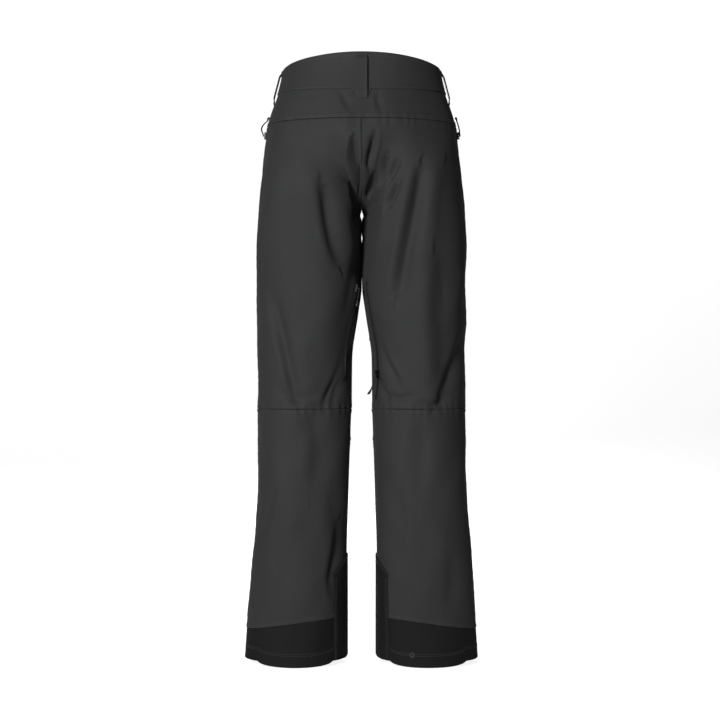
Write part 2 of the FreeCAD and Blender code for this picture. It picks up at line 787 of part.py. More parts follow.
def waist_tab():
    """The closure tab over the front waistbands, with two snap caps on it and two studs behind it."""
    low, high = size("waist_seam_level") + 9, size("waist_top_level") - 8
    levels = spread(low, high, 7)
    across = spread(TAB_HINGE_X, TAB_END_X, 6)

    def tab_point(x, z, out):
        side = 1 if x >= 0 else -1
        around = 2 - around_for_x(abs(x), z)
        return skin(side, z, around, -out)

    def sheet_net(out):
        return [[tab_point(x, z, out) for x in across] for z in levels]

    near, far, middle = 2.6, 4.2, (low + high) / 2
    add_shape("waist_tab", cloth_solid(sheet_net(far), sheet_net(near)))
    caps, studs = [], []
    for x in SNAP_XS:
        face = tab_point(x, middle, 0)
        slope = (tab_point(x, middle + 1, 0) - tab_point(x, middle - 1, 0)).normalize()
        outward = tab_point(x, middle, 1) - face
        outward = (outward - slope * outward.dot(slope)).normalize()
        cap_foot = face + outward * (far + 0.4)
        caps.append(Part.makeCylinder(size("snap_r"), size("snap_high"), cap_foot, outward))
        stud_foot = face + outward * 0.6
        studs.append(Part.makeCylinder(size("stud_r"), size("stud_high"), stud_foot, outward))
    add_shape("snap_caps", Part.makeCompound(caps))
    add_shape("snap_studs", Part.makeCompound(studs))
    hinge, top, bottom = (tab_point(TAB_HINGE_X, z, near) for z in (middle, high, low))
    AXES["waist_tab"] = {
        "bar": tuple(round(c, 3) for c in hinge),
        "across": tuple(round(c, 6) for c in (top - bottom).normalize()),
    }


def around_for_x(x, level):
    """How far round from centre front an x is, on the front of the waistband."""
    low, high = 0.0, 0.9
    for _ in range(40):
        middle = (low + high) / 2
        if section_point(level, 2 - middle)[0] < x:
            low = middle
        else:
            high = middle
    return (low + high) / 2


def hanger_loop():
    """A ribbon loop inside the centre back of the waistband, for a peg."""
    body = new_body("hanger_loop")
    ring = new_sketch(body, "YZ_Plane", "hanger_ring")
    circle(ring, "0", "0", "Sizes.peg_r + Sizes.ribbon")
    circle(ring, "0", "0", "Sizes.peg_r")
    pad(body, ring, "Sizes.ribbon_wide", "hanger_band")
    tail = body.newObject("PartDesign::AdditiveBox", "hanger_tail")
    tail.setExpression("Length", "Sizes.ribbon_wide")
    tail.setExpression("Width", "Sizes.ribbon_tail")
    tail.setExpression("Height", "2 * Sizes.ribbon")
    tail.setExpression("Placement.Base.x", "-Sizes.ribbon_wide / 2")
    tail.setExpression("Placement.Base.y", "Sizes.peg_r + 0.5 * Sizes.ribbon")
    tail.setExpression("Placement.Base.z", "-Sizes.ribbon")
    level = size("hanger_level")
    lining = 4.2 + 0.6
    wall = skin(1, level, 0, lining)
    middle = wall.y - size("peg_r") - 0.5 * size("ribbon") - size("ribbon_tail")
    body.Placement = FreeCAD.Placement(V(0, middle, level), FreeCAD.Rotation())
    AXES["hanger"] = {"bar": (0, round(middle, 3), level)}


def eyelet(side, word):
    """A pressed metal eyelet at the heel of the hem band."""
    body = new_body(f"{word}_heel_eyelet")
    ring = new_sketch(body, "XY_Plane", f"{word}_eyelet_ring")
    circle(ring, "0", "0", "Sizes.eyelet_outer")
    circle(ring, "0", "0", "Sizes.eyelet_r")
    pad(body, ring, "Sizes.eyelet_high", f"{word}_eyelet_band")
    level, around = 22, 0.4
    face = skin(side, level, around)
    outward = skin(side, level, around, -1) - face
    place = face + outward * (0.5 + size("eyelet_high") / 2)
    body.Placement = frame_at(place, V(0, 0, 1), outward)


def lace_hook(side, word):
    """A bent metal hook on the front of the gaiter, for a boot's laces."""
    body = new_body(f"{word}_lace_hook")
    bend = new_sketch(body, "YZ_Plane", f"{word}_hook_bend")
    tall, lip, plate = "Sizes.hook_tall", "Sizes.hook_lip", "Sizes.hook_plate"
    throat = "Sizes.hook_throat"
    outline(
        bend,
        [
            ("0", "0"),
            (tall, "0"),
            (tall, plate),
            (plate, plate),
            (plate, f"{plate} + {throat}"),
            (lip, f"{plate} + {throat}"),
            (lip, f"2 * {plate} + {throat}"),
            ("0", f"2 * {plate} + {throat}"),
        ],
    )
    pad(body, bend, "Sizes.hook_wide", f"{word}_hook_strip")
    level, around = 40, 1.5
    face = skin(side, level, around, 8.6)
    outward = skin(side, level, around, 7.6) - face
    body.Placement = frame_at(face, V(0, 0, 1), outward)


# ---------------------------------------------------------------- the whole garment


def build():
    """Make every sub-part."""
    waistband()
    yokes()
    fly()
    waist_tab()
    belt_loops()
    hanger_loop()
    for side, word in SIDES:
        back_panels(side, word)
        front_panels(side, word)
        vents_and_pockets(side, word)
        cuffs(side, word)
        eyelet(side, word)
        lace_hook(side, word)
    doc.recompute()


def check():
    """Stop if any object failed or any sub-part isn't sound."""
    for thing in doc.Objects:
        if "Invalid" in thing.State or "Error" in thing.State:
            raise RuntimeError(f"{thing.Name} failed: {thing.State}")
    for node in NODES:
        shape = node.Shape
        if shape.isNull() or not shape.isValid() or not shape.Solids:
            raise RuntimeError(f"{node.Label} has no sound shape")
        if any(solid.Volume <= 0 for solid in shape.Solids):
            raise RuntimeError(f"{node.Label} is inside out")


def export():
    """Write each sub-part to its own STEP file."""
    os.makedirs("parts", exist_ok=True)
    for node in NODES:
        node.Shape.exportStep(f"parts/{node.Label}.step")


build()
check()
export()
for name, values in AXES.items():
    print(name, values)
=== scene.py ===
"""Ski pants: the cloth, trims, zips and fasteners of the visual model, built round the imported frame.

Lengths are worked out in millimetres and become metres when a mesh is made. +Z is up, the wearer's left is +X
and the garment's back faces +Y.
"""

import json
import math

import bpy
import numpy as np
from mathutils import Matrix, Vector


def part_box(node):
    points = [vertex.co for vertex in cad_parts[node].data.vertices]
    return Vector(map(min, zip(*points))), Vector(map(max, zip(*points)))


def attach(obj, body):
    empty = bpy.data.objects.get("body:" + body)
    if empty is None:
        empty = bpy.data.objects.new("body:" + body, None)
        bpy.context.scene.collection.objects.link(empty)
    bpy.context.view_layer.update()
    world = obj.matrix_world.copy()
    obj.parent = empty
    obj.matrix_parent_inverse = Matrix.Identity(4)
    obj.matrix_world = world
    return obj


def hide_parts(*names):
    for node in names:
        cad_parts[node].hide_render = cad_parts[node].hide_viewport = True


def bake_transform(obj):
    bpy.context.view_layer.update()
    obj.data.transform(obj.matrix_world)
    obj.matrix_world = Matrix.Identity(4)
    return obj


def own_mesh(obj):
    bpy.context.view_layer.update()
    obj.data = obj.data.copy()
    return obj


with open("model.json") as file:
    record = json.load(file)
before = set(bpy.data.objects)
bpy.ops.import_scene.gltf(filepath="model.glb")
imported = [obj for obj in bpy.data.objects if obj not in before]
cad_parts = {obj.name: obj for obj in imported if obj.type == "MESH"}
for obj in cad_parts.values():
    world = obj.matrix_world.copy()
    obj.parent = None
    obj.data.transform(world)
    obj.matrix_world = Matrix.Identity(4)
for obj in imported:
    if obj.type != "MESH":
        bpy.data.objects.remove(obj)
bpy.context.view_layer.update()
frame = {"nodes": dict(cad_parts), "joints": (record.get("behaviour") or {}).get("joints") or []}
MM = 0.001
SIDES = ((1, "left"), (-1, "right"))

# Cross-sections of one leg and its half of the hips, from the hem to the top of the waistband:
# level, x of the side seam, x of the inseam or centre seam, and y of the back, the front and the side seam.
STATIONS = (
    (0, 204, 26, 80, -70, 4),
    (70, 199, 26, 78, -74, 3),
    (190, 190, 26, 78, -78, 0),
    (285, 184.5, 23.5, 80, -84, -5),
    (365, 183, 21, 80, -90, -8),
    (443, 182, 18.4, 78, -96, -8),
    (530, 182, 17.3, 84, -98, -8),
    (610, 182, 6.5, 95, -100, -5),
    (658, 182, 0.6, 104, -102, -3),
    (720, 183, 0.5, 117, -106, -1),
    (790, 180, 0.5, 132, -111, 0),
    (860, 174, 0.5, 147, -116, 0),
    (900, 168.5, 0.5, 147, -118, 0),
    (935, 165, 0.5, 141, -118, 0),
    (964, 156.5, 0.5, 132, -117, 0),
    (990, 147, 0.5, 124, -115, 0),
    (1035, 137, 0.5, 114, -112, 0),
    (1051, 135, 0.5, 112, -111, 0),
)
LEVELS, OUTER, INNER, BACK, FRONT, SEAM = np.array(STATIONS, float).T
DEPTH_SHIFT = -7.53
SQUARENESS = 0.035

CROTCH = 790
YOKE = 935
KNEE = 443
KNEE_PANEL_LOW = 385
KNEE_PANEL_TOP = 560
WAIST_SEAM = 990
WAIST_TOP = 1035
BAND_RISE = 16
BAND_SEAM_DROP = 5
HEEL_RISE = 9
HEEL_REACH = 0.25
HEM_SEAM_LOW = 60
HEM_SEAM_RISE = 22
DIP_DEPTH = 14
DIP_WIDE = (0.044, 0.072)
GUARD_TOP = 190
GUARD_REACH = 0.24
GUARD_SLOPE = 30
FLY_NOTCH = 22
FLY_BOTTOM = 873
NOTCH_BOTTOM = 868
POCKET_LOW, POCKET_TOP = 765, 922
POCKET_TOP_Y = -14
POCKET_LEAN = 20
VENT_LOW, VENT_TOP = 504, 652
VENT_BEHIND = 52

CLOTH = 1.2
GRID = 3.2
PANEL_WIDE = 265


# --- small maths


def smooth(t):
    """0 below 0, 1 above 1, and a soft step between."""
    t = np.clip(t, 0.0, 1.0)
    return t * t * (3 - 2 * t)


def ramp(value, start, end):
    """Goes softly from 0 at start to 1 at end."""
    return smooth((value - start) / (end - start))


def bell(value, width):
    """1 at 0, falling off on both sides."""
    return np.exp(-((value / width) ** 2))


def unit(vectors):
    """Vectors of length 1."""
    length = np.linalg.norm(vectors, axis=-1, keepdims=True)
    return vectors / np.maximum(length, 1e-9)


def lengths_along(points):
    """Distance along a line of points."""
    steps = np.linalg.norm(np.diff(points, axis=0), axis=1)
    return np.concatenate([[0.0], np.cumsum(steps)])


# --- the garment's skin, as in the CAD model


def curve_slopes(values):
    """Slopes of a smooth curve through the stations that doesn't overshoot them."""
    steps = np.diff(values) / np.diff(LEVELS)
    product = steps[:-1] * steps[1:]
    total = steps[:-1] + steps[1:]
    inner = np.where(product > 0, 2 * product / np.where(total == 0, 1, total), 0)
    return np.concatenate([steps[:1], inner, steps[-1:]])


def profile(values, level):
    """One measure of the garment at any level."""
    slopes = curve_slopes(values)
    held = np.clip(level, LEVELS[0], LEVELS[-1])
    i = np.clip(np.searchsorted(LEVELS, held, side="right") - 1, 0, len(LEVELS) - 2)
    span = LEVELS[i + 1] - LEVELS[i]
    p = (held - LEVELS[i]) / span
    start = (1 + 2 * p) * (1 - p) ** 2 * values[i] + p * (1 - p) ** 2 * span * slopes[i]
    end = p * p * (3 - 2 * p) * values[i + 1] - p * p * (1 - p) * span * slopes[i + 1]
    return start + end


CROTCH_CORNER = 0.15


def section(level, around):
    """x and y of the left half's outline. around is 0 at the inseam or centre back, 1 at the side seam and 2
    at the inseam or centre front."""
    outer, inner, seam = (profile(field, level) for field in (OUTER, INNER, SEAM))
    reach = np.where(around <= 1, profile(BACK, level), profile(FRONT, level)) - seam
    part = np.where(around <= 1, around, 2 - around)
    leg, hip = math.pi * part, math.pi * part / 2
    leg_swell = 1 + SQUARENESS * np.sin(2 * leg) ** 2
    hip_swell = 1 + SQUARENESS * np.sin(2 * hip) ** 2
    leg_x = (outer + inner) / 2 - (outer - inner) / 2 * np.cos(leg) * leg_swell
    leg_y = reach * np.sin(leg) * leg_swell
    hip_x = inner + (outer - inner) * np.sin(hip) * hip_swell
    hip_y = reach * np.cos(hip) * hip_swell
    height = np.clip((level - CROTCH) / (YOKE - CROTCH), 0, 1)
    at_seam = np.sqrt(1 - (1 - height) ** 2)
    nearness = bell(part, CROTCH_CORNER)
    share = nearness * at_seam + (1 - nearness) * smooth(height)
    return (1 - share) * leg_x + share * hip_x, seam + (1 - share) * leg_y + share * hip_y


def skin(side, level, around, lift=0.0):
    """Points lift mm outside the smooth garment, and the level directions that face outwards there."""
    level, around = np.broadcast_arrays(np.asarray(level, float), np.clip(around, 0.0, 2.0))
    step = 1e-3
    before = section(level, np.maximum(around - step, 0))
    after = section(level, np.minimum(around + step, 2))
    along = unit(np.stack([after[0] - before[0], after[1] - before[1]], -1))
    out = np.stack([-side * along[..., 1], along[..., 0], np.zeros_like(level)], -1)
    x, y = section(level, around)
    points = np.stack([side * x, y + DEPTH_SHIFT, level], -1)
    return points + out * np.asarray(lift, float)[..., None], out


def hump(around):
    """1 at centre back, falling softly to 0 at the side."""
    return 0.5 + 0.5 * np.cos(math.pi * np.minimum(around, 1))


def waist_top(around):
    return WAIST_TOP + BAND_RISE * hump(around)


def waist_seam(around):
    """The waistband's seam, which dips round the foot of the centre back loop."""
    dip = DIP_DEPTH * np.clip((DIP_WIDE[1] - around) / (DIP_WIDE[1] - DIP_WIDE[0]), 0, 1)
    return WAIST_SEAM - BAND_SEAM_DROP * hump(around) - dip


def hem_edge(around):
    """The hem, with a lobe that drops over the heel."""
    reach = np.clip(np.abs(around - 0.5) / HEEL_REACH, 0, 1)
    return HEEL_RISE * (1 - np.sqrt(1 - reach**2))


def hem_seam(around):
    """The top of the hem band, higher towards the inseam."""
    distance = np.minimum(around, 2 - around)
    return HEM_SEAM_LOW + HEM_SEAM_RISE * smooth((1 - distance) / 0.8)


def guard_top(around):
    """The top of the scuff guard, highest at the inseam."""
    return GUARD_TOP - GUARD_SLOPE * (around / GUARD_REACH) ** 2


def pocket_line(level):
    """y of a hand pocket's zip, which leans forward towards its foot."""
    return POCKET_TOP_Y - POCKET_LEAN * (POCKET_TOP - level) / (POCKET_TOP - POCKET_LOW) + DEPTH_SHIFT


def vent_line(level):
    """y of a vent's zip."""
    return profile(SEAM, level) + VENT_BEHIND + DEPTH_SHIFT


HALVINGS = 40


def halving(level, low, high, short_of):
    """The place round the outline, from low to high, up to which short_of holds."""
    low, high = np.full(level.shape, float(low)), np.full(level.shape, float(high))
    for _ in range(HALVINGS):
        middle = (low + high) / 2
        ahead = short_of(middle)
        low, high = np.where(ahead, middle, low), np.where(ahead, high, middle)
    return (low + high) / 2


def around_at(low, high, level, y):
    """Where round the outline a y is, between two places where y only falls or only rises."""
    level = np.asarray(level, float)
    rising = section(level, high)[1] > section(level, low)[1]
    return halving(level, low, high, lambda spot: (section(level, spot)[1] + DEPTH_SHIFT < y) == rising)


def around_for_x(x, level):
    """Where round the front of the outline an x is."""
    level = np.asarray(level, float)
    return halving(level, 1.1, 2.0, lambda spot: section(level, spot)[0] > x)


# --- folds


# Folds seen on the back: the x and level of the points each one runs through, its width, how deep its valley
# is (below 0 is a ridge), and how far one of its sides stands over the other.
BACK_FOLDS = (
    (((19, 900), (20, 872), (15, 848), (12, 828), (9, 804)), 6, 6.5, 5.4),
    (((40, 915), (38, 875), (36, 842), (30, 806)), 20, -4.4, 0.0),
    (((-36, 882), (-22, 850), (-10, 818), (0, 794)), 13, -1.6, 0.0),
    (((-22, 906), (-19, 886), (-15, 868), (-13, 852)), 6, 4.6, -3.0),
    (((-8, 806), (-14, 820), (-22, 840)), 5, 5.2, 3.0),
    (((-30, 822), (-36, 846), (-42, 872)), 6, 5.0, 3.4),
    (((-44, 830), (-52, 846), (-62, 864)), 7, 3.4, 2.0),
    (((-42, 784), (-50, 802), (-60, 824)), 7, 4.8, 3.2),
    (((14, 812), (22, 826), (34, 838)), 7, 1.4, 0.8),
    (((4, 800), (0, 780), (2, 750)), 16, 4.0, 0.0),
    (((24, 828), (22, 808), (17, 790), (16, 768)), 7, 4.6, 3.6),
    (((-10, 792), (-18, 800), (-26, 816)), 6, 3.4, 2.0),
    (((44, 984), (36, 970), (29, 954)), 6, 3.4, 2.4),
    (((-24, 986), (-22, 968), (-26, 950)), 6, 3.0, 2.0),
    (((76, 824), (72, 800), (68, 768), (60, 726), (48, 690)), 14, 5.0, 3.6),
    (((37, 806), (34, 770), (25, 716)), 14, -3.0, 0.0),
    (((18, 700), (26, 650), (34, 600)), 16, 3.2, 1.5),
    (((-90, 852), (-83, 818), (-69, 750), (-57, 690), (-50, 640)), 15, 5.6, 4.8),
    (((-30, 800), (-28, 760), (-20, 710)), 12, -2.0, 0.0),
    (((-128, 850), (-122, 760), (-126, 660)), 24, 2.6, 1.6),
    (((128, 850), (124, 770), (130, 680)), 24, 2.0, -1.2),
    (((166, 634), (152, 580), (138, 526), (120, 452)), 11, 3.8, 2.8),
    (((26, 566), (42, 516), (72, 450)), 9, 4.0, 2.4),
    (((24, 540), (36, 500), (56, 452)), 6, 3.6, 2.0),
    (((27, 524), (38, 486), (58, 450)), 5, -1.8, 0.0),
    (((-22, 574), (-40, 528), (-62, 488)), 8, 4.4, -3.4),
    (((-26, 512), (-34, 482), (-44, 456)), 6, 3.0, -2.0),
    (((-36, 466), (-56, 459), (-84, 462)), 7, 2.4, 1.2),
    (((-168, 566), (-146, 506), (-118, 450)), 12, 3.2, 2.2),
    (((-112, 700), (-112, 600), (-118, 480)), 24, 0.6, 3.6),
    (((-152, 470), (-120, 452), (-90, 458)), 9, 1.8, 1.0),
    (((150, 474), (120, 458), (88, 462)), 9, 1.8, 1.0),
    (((96, 436), (90, 380), (98, 300)), 20, 1.8, 1.0),
    (((-92, 436), (-98, 360), (-90, 280)), 20, 1.8, -1.0),
    (((60, 300), (54, 220), (58, 150)), 17, 1.6, 1.0),
    (((-58, 310), (-62, 230), (-54, 150)), 17, 1.6, -0.8),
    (((150, 300), (164, 256), (178, 200)), 9, 1.8, -1.6),
    (((44, 250), (52, 200), (60, 150), (54, 110)), 10, 2.6, 1.6),
    (((140, 200), (136, 150), (142, 100)), 15, 1.4, -0.8),
    (((-140, 210), (-146, 150), (-138, 96)), 15, 1.4, 0.8),
)

# Folds of the front, which follow from how the knees and hips bend. They are mirrored on the other leg.
FRONT_FOLDS = (
    (((28, 838), (52, 822), (86, 812)), 9, 2.6, 1.4),
    (((24, 812), (56, 790), (98, 776)), 11, 3.0, -1.8),
    (((18, 790), (44, 760), (84, 728)), 12, 2.6, 1.4),
    (((30, 770), (40, 700), (62, 630)), 18, 2.8, 1.4),
    (((140, 860), (122, 800), (112, 720)), 22, 3.0, 1.8),
    (((30, 560), (62, 540), (110, 548)), 9, 2.2, 1.0),
    (((176, 520), (150, 500), (118, 508)), 9, 2.2, 1.2),
    (((26, 470), (52, 452), (88, 456)), 10, 2.4, -1.2),
    (((172, 430), (150, 416), (116, 424)), 10, 2.4, 1.2),
    (((30, 392), (60, 372), (104, 362)), 11, 2.8, 1.6),
    (((170, 380), (140, 352), (100, 338)), 12, 2.2, -1.2),
    (((96, 330), (90, 250), (98, 160)), 20, 2.2, 1.4),
    (((150, 240), (146, 180), (152, 120)), 16, 1.8, -1.0),
    (((46, 240), (60, 180), (84, 130)), 13, 2.2, 1.2),
    (((150, 130), (120, 112), (86, 118)), 10, 2.0, 1.0),
)
CURVE_STEPS = 10
WALK_ROUND = 250
ZIP_CALM = 26
OVER_CENTRE = -12
FOLD_GAIN = 1.9
FOLD_SHIFT = 0.5


def through(points):
    """A smooth line through a few points."""
    points = np.array(points, float)
    ends = np.vstack([2 * points[0] - points[1], points, 2 * points[-1] - points[-2]])
    line = []
    for a, b, c, d in zip(ends, ends[1:], ends[2:], ends[3:]):
        for t in np.linspace(0, 1, CURVE_STEPS, endpoint=False):
            bend = 2 * b + (c - a) * t + (2 * a - 5 * b + 4 * c - d) * t * t
            line.append((bend + (3 * b - a - 3 * c + d) * t**3) / 2)
    return np.array(line + [points[-1]])


def fold(x, z, points, width, valley, step):
    """Height of one fold at the places x, z: a valley with one side over the other, fading at both ends. The
    valley lies a little to one side of its line, so that the line runs down its steep wall."""
    line = through(points)
    line[:, 0] -= FOLD_SHIFT * width
    total = len(line) - 1
    reach = 3 * width
    low, high = line.min(0) - reach, line.max(0) + reach
    near = (x > low[0]) & (x < high[0]) & (z > low[1]) & (z < high[1])
    result = np.zeros(x.shape)
    if not near.any():
        return result
    x, z = x[near], np.broadcast_to(z, near.shape)[near]
    best = np.full(x.shape, 1e9)
    height = np.zeros(x.shape)
    for i, (a, b) in enumerate(zip(line, line[1:])):
        run = b - a
        t = np.clip(((x - a[0]) * run[0] + (z - a[1]) * run[1]) / (run @ run), 0, 1)
        off_x, off_z = x - a[0] - t * run[0], z - a[1] - t * run[1]
        distance = np.hypot(off_x, off_z)
        hand = np.sign(run[0] * off_z - run[1] * off_x)
        along = (i + t) / total
        u = hand * distance / width
        ends = np.sqrt(np.clip(np.sin(math.pi * np.clip(along * 0.94 + 0.03, 0, 1)), 0, 1))
        shape = ends * (step * u * np.exp(0.5 - u * u) * 1.2 - valley * np.exp(-np.abs(u) ** 1.5))
        nearer = distance < best
        best = np.where(nearer, distance, best)
        height = np.where(nearer, shape, height)
    result[near] = height
    return result


def waves(seed, across, up, long_across, long_up, count=5):
    """Soft irregular swells of height about 1."""
    draw = np.random.default_rng(seed)
    total = np.zeros(np.broadcast(across, up).shape)
    for _ in range(count):
        turn = draw.uniform(0, 2 * math.pi, 2)
        stretch = draw.uniform(0.7, 1.5, 2)
        drift = draw.uniform(-0.6, 0.6)
        phase = 2 * math.pi * (across / long_across * stretch[0] + drift * up / long_up)
        total += np.sin(phase + turn[0]) * np.cos(2 * math.pi * up / long_up * stretch[1] + turn[1])
    return total / math.sqrt(count)


def pucker(seed, distance, along, pitch=15.0, reach=11.0, height=0.4):
    """The small ripples that stitching draws up beside a seam."""
    wander = waves(seed, along, distance * 0, 60, 60)
    return height * bell(distance, reach) * np.sin(2 * math.pi * along / pitch + 1.7 * wander)


def relief(side, level, around, points):
    """Height of the draped cloth over the smooth garment: folds, broad swells and the ripples beside seams.
    It is calm at the waist and the cuff, and flat round the zips."""
    x, y, z = points[..., 0], points[..., 1], level
    back = ramp(around, 1.14, 0.94)
    front = 1 - back
    leg = ramp(level, CROTCH + 25, CROTCH - 25)
    inseam = np.minimum(around, 2 - around)
    seamless = 1 - leg * (1 - ramp(inseam, 0.0, 0.12))
    height = np.zeros(x.shape)
    for line, width, valley, step in BACK_FOLDS:
        if side * sum(place[0] for place in line) / len(line) < OVER_CENTRE:
            continue
        height += back * seamless * fold(x, z, line, width, valley, step)
    for line, width, valley, step in FRONT_FOLDS:
        height += front * seamless * fold(side * x, z, line, width, valley, step * side)
    length = around * WALK_ROUND
    parted = seamless * (1 - bell(inseam * PANEL_WIDE, 25) * ramp(level, CROTCH - 10, CROTCH + 10))
    height += 1.3 * waves(3 + side, length, z, 190, 520) * parted
    height += 0.45 * waves(9 + side, length, z, 70, 150) * parted
    height += pucker(21, level - KNEE, length) * back
    height += pucker(22, level - KNEE_PANEL_TOP, length) * front
    height += pucker(23, level - KNEE_PANEL_LOW, length) * front
    height += pucker(24, level - hem_seam(around), length, 18, 10, 0.2)
    height += pucker(25, level - YOKE, length, 17, 12, 0.3)
    height += pucker(26, (around - 1) * PANEL_WIDE, level, 19, 12, 0.12)
    calm = ramp(level, WAIST_SEAM + 6, YOKE - 20)
    cuff = 0.45 + 0.55 * ramp(level, 60, 150)
    height *= (0.15 + 0.85 * calm) * cuff
    pocket = bell(y - pocket_line(level), ZIP_CALM) * ramp(level, POCKET_LOW - 30, POCKET_LOW + 5) * front
    vent = bell(y - vent_line(level), ZIP_CALM) * ramp(level, VENT_LOW - 34, VENT_LOW - 4)
    vent *= ramp(level, VENT_TOP + 38, VENT_TOP + 8) * ramp(around, 0.5, 0.4)
    fly = ramp(np.abs(x), 75, 26) * ramp(level, 815, 862) * front
    return height * (1 - pocket) * (1 - vent) * (1 - fly)


SEAM_X = 0.15
# Small openings between the legs under the crotch: level, half height and half width.
OPENINGS = ((781, 5.5, 3.0), (741, 5.0, 1.3))


def surface(side, level, around, lift=0.0):
    """Points on the draped garment and the directions that face outwards there. The centre seams meet at the
    middle, the thighs touch below them, and the two legs never cross the centre plane."""
    level, around = np.broadcast_arrays(np.asarray(level, float), np.clip(around, 0.0, 2.0))
    base, out = skin(side, level, around)
    height = FOLD_GAIN * relief(side, level, around, base) + lift
    points = base + out * np.asarray(height, float)[..., None]
    x = side * points[..., 0]
    beside = np.minimum(around, 2 - around) * PANEL_WIDE
    high = ramp(level, 655, 690)
    hold = bell(beside, 5) * high
    x = hold * SEAM_X + (1 - hold) * (x - 0.8 * bell(beside, 30) * high)
    for middle, tall, wide in OPENINGS:
        x = x + wide * bell(level - middle, tall) * bell(beside, 45)
    points[..., 0] = side * np.maximum(x, 0.12)
    return points, out


# --- meshes


class Piece:
    """The points and four-sided faces of one piece, gathered part by part."""

    def __init__(self):
        self.points, self.faces, self.slots, self.uvs, self.count = [], [], [], [], 0

    def add(self, points, faces, slot=0, uv=None):
        points = np.asarray(points, float).reshape(-1, 3)
        faces = np.asarray(faces, int).reshape(-1, 4)
        self.points.append(points)
        self.faces.append(faces + self.count)
        self.slots.append(np.full(len(faces), slot))
        self.uvs.append(points[:, :2] if uv is None else np.asarray(uv, float).reshape(-1, 2))
        self.count += len(points)

    def solid(self, outer, inner, uv=None, slots=(0, 0), closed=False):
        """A closed body between two grids of points. slots are the materials of its outside and inside."""
        rows, columns = outer.shape[:2]
        index = np.arange(rows * columns).reshape(rows, columns)
        if closed:
            index = np.hstack([index, index[:, :1]])
        under = index + rows * columns
        top = strip_faces(index)
        bottom = strip_faces(under)[:, ::-1]
        rims = [rim_faces(index[0], under[0]), rim_faces(under[-1], index[-1])]
        if not closed:
            rims += [rim_faces(under[:, 0], index[:, 0]), rim_faces(index[:, -1], under[:, -1])]
        faces = np.vstack([top, bottom] + rims)
        both = np.concatenate([outer.reshape(-1, 3), inner.reshape(-1, 3)])
        if uv is not None:
            uv = np.concatenate([uv.reshape(-1, 2)] * 2)
        if faces_look_in(outer, inner):
            faces = faces[:, ::-1]
        self.add(both, faces, slots[0], uv)
        self.slots[-1][len(top) : len(top) + len(bottom)] = slots[1]

    def build(self, name, materials, body, slot, stands_for, sharp=38):
        """Make the object, ride it on its body if it has one, and hide the CAD node that it stands for."""
        mesh = bpy.data.meshes.new(name)
        points = np.vstack(self.points) * MM
        faces = np.vstack(self.faces)
        mesh.vertices.add(len(points))
        mesh.vertices.foreach_set("co", points.ravel())
        mesh.loops.add(faces.size)
        mesh.loops.foreach_set("vertex_index", faces.ravel().astype(np.int32))
        mesh.polygons.add(len(faces))
        mesh.polygons.foreach_set("loop_start", np.arange(0, faces.size, 4, dtype=np.int32))
        mesh.update(calc_edges=True)
        mesh.polygons.foreach_set("material_index", np.concatenate(self.slots).astype(np.int32))
        mesh.polygons.foreach_set("use_smooth", np.ones(len(faces), bool))
        layer = mesh.uv_layers.new(name="cloth")
        layer.data.foreach_set("uv", (np.vstack(self.uvs)[faces.ravel()] * MM).ravel())
        mesh.set_sharp_from_angle(angle=math.radians(sharp))
        for material in materials:
            mesh.materials.append(material)
        thing = bpy.data.objects.new(name, mesh)
        bpy.context.scene.collection.objects.link(thing)
        if body:
            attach(thing, body)
        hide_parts(stands_for)
        return thing


def strip_faces(index):
    """Faces of a grid of point numbers."""
    corners = (index[:-1, :-1], index[:-1, 1:], index[1:, 1:], index[1:, :-1])
    return np.stack(corners, -1).reshape(-1, 4)


def rim_faces(first, second):
    """Faces between two rows of point numbers."""
    return np.stack([first[1:], first[:-1], second[:-1], second[1:]], -1).reshape(-1, 4)


def faces_look_in(outer, inner):
    """Whether the faces of the outer grid, as numbered, look towards the inner grid."""
    i, j = outer.shape[0] // 2, outer.shape[1] // 2
    i, j = max(i, 1), max(j, 1)
    along = outer[i - 1, j] - outer[i - 1, j - 1]
    up = outer[i, j - 1] - outer[i - 1, j - 1]
    return np.cross(along, up) @ (outer[i - 1, j - 1] - inner[i - 1, j - 1]) < 0


EDGE_STEPS = (0.0, 0.35, 0.9, 1.8, 3.2, 5.4, 6.4, 7.6, 9.4)


def graded(length, step=GRID):
    """Places along a length that are close together at both ends, where the seams are."""
    edge = np.array(EDGE_STEPS)
    if length < 2.5 * edge[-1]:
        return np.linspace(0, length, max(4, math.ceil(length / 2)))
    count = max(2, math.ceil((length - 2 * edge[-1]) / step))
    middle = np.linspace(edge[-1], length - edge[-1], count + 1)[1:-1]
    return np.concatenate([edge, middle, length - edge[::-1]])


def halved(values, low, high):
    """The same rising values with one more between each pair that lies from low to high."""
    middle = (values[1:] + values[:-1]) / 2
    return np.sort(np.concatenate([values, middle[(middle > low) & (middle < high)]]))


def places(start, end, wide):
    """Places round the outline between two of its seams, wide being the distance between them."""
    return start + (end - start) * graded(wide) / wide


def rows_up(length, step=GRID):
    """Shares of a height, close together at both ends."""
    share = graded(length, step)
    return share / share[-1]


def columns(around, low, high, share_up):
    """Levels and places of a grid whose columns stand at the places around and run from low to high."""
    level = low + (high - low) * share_up[:, None]
    return level, np.broadcast_to(around, level.shape)


def from_edge(level):
    """Distance of each point of a grid from its lower or upper edge."""
    return np.minimum(level - level[0], level[-1] - level)


def on_grid(rows, across):
    """Two lists of places as the two grids that they span."""
    return np.meshgrid(rows, across, indexing="ij")


SEAM_WIDE = 6.6


def edge_lift(distance, band=0.0):
    """The cloth turns down at its edge, and a folded seam allowance can raise a band beside it."""
    raised = band * (1 - ramp(distance, SEAM_WIDE - 0.5, SEAM_WIDE + 1.2))
    return raised - (0.9 + band) * bell(distance, 0.55)


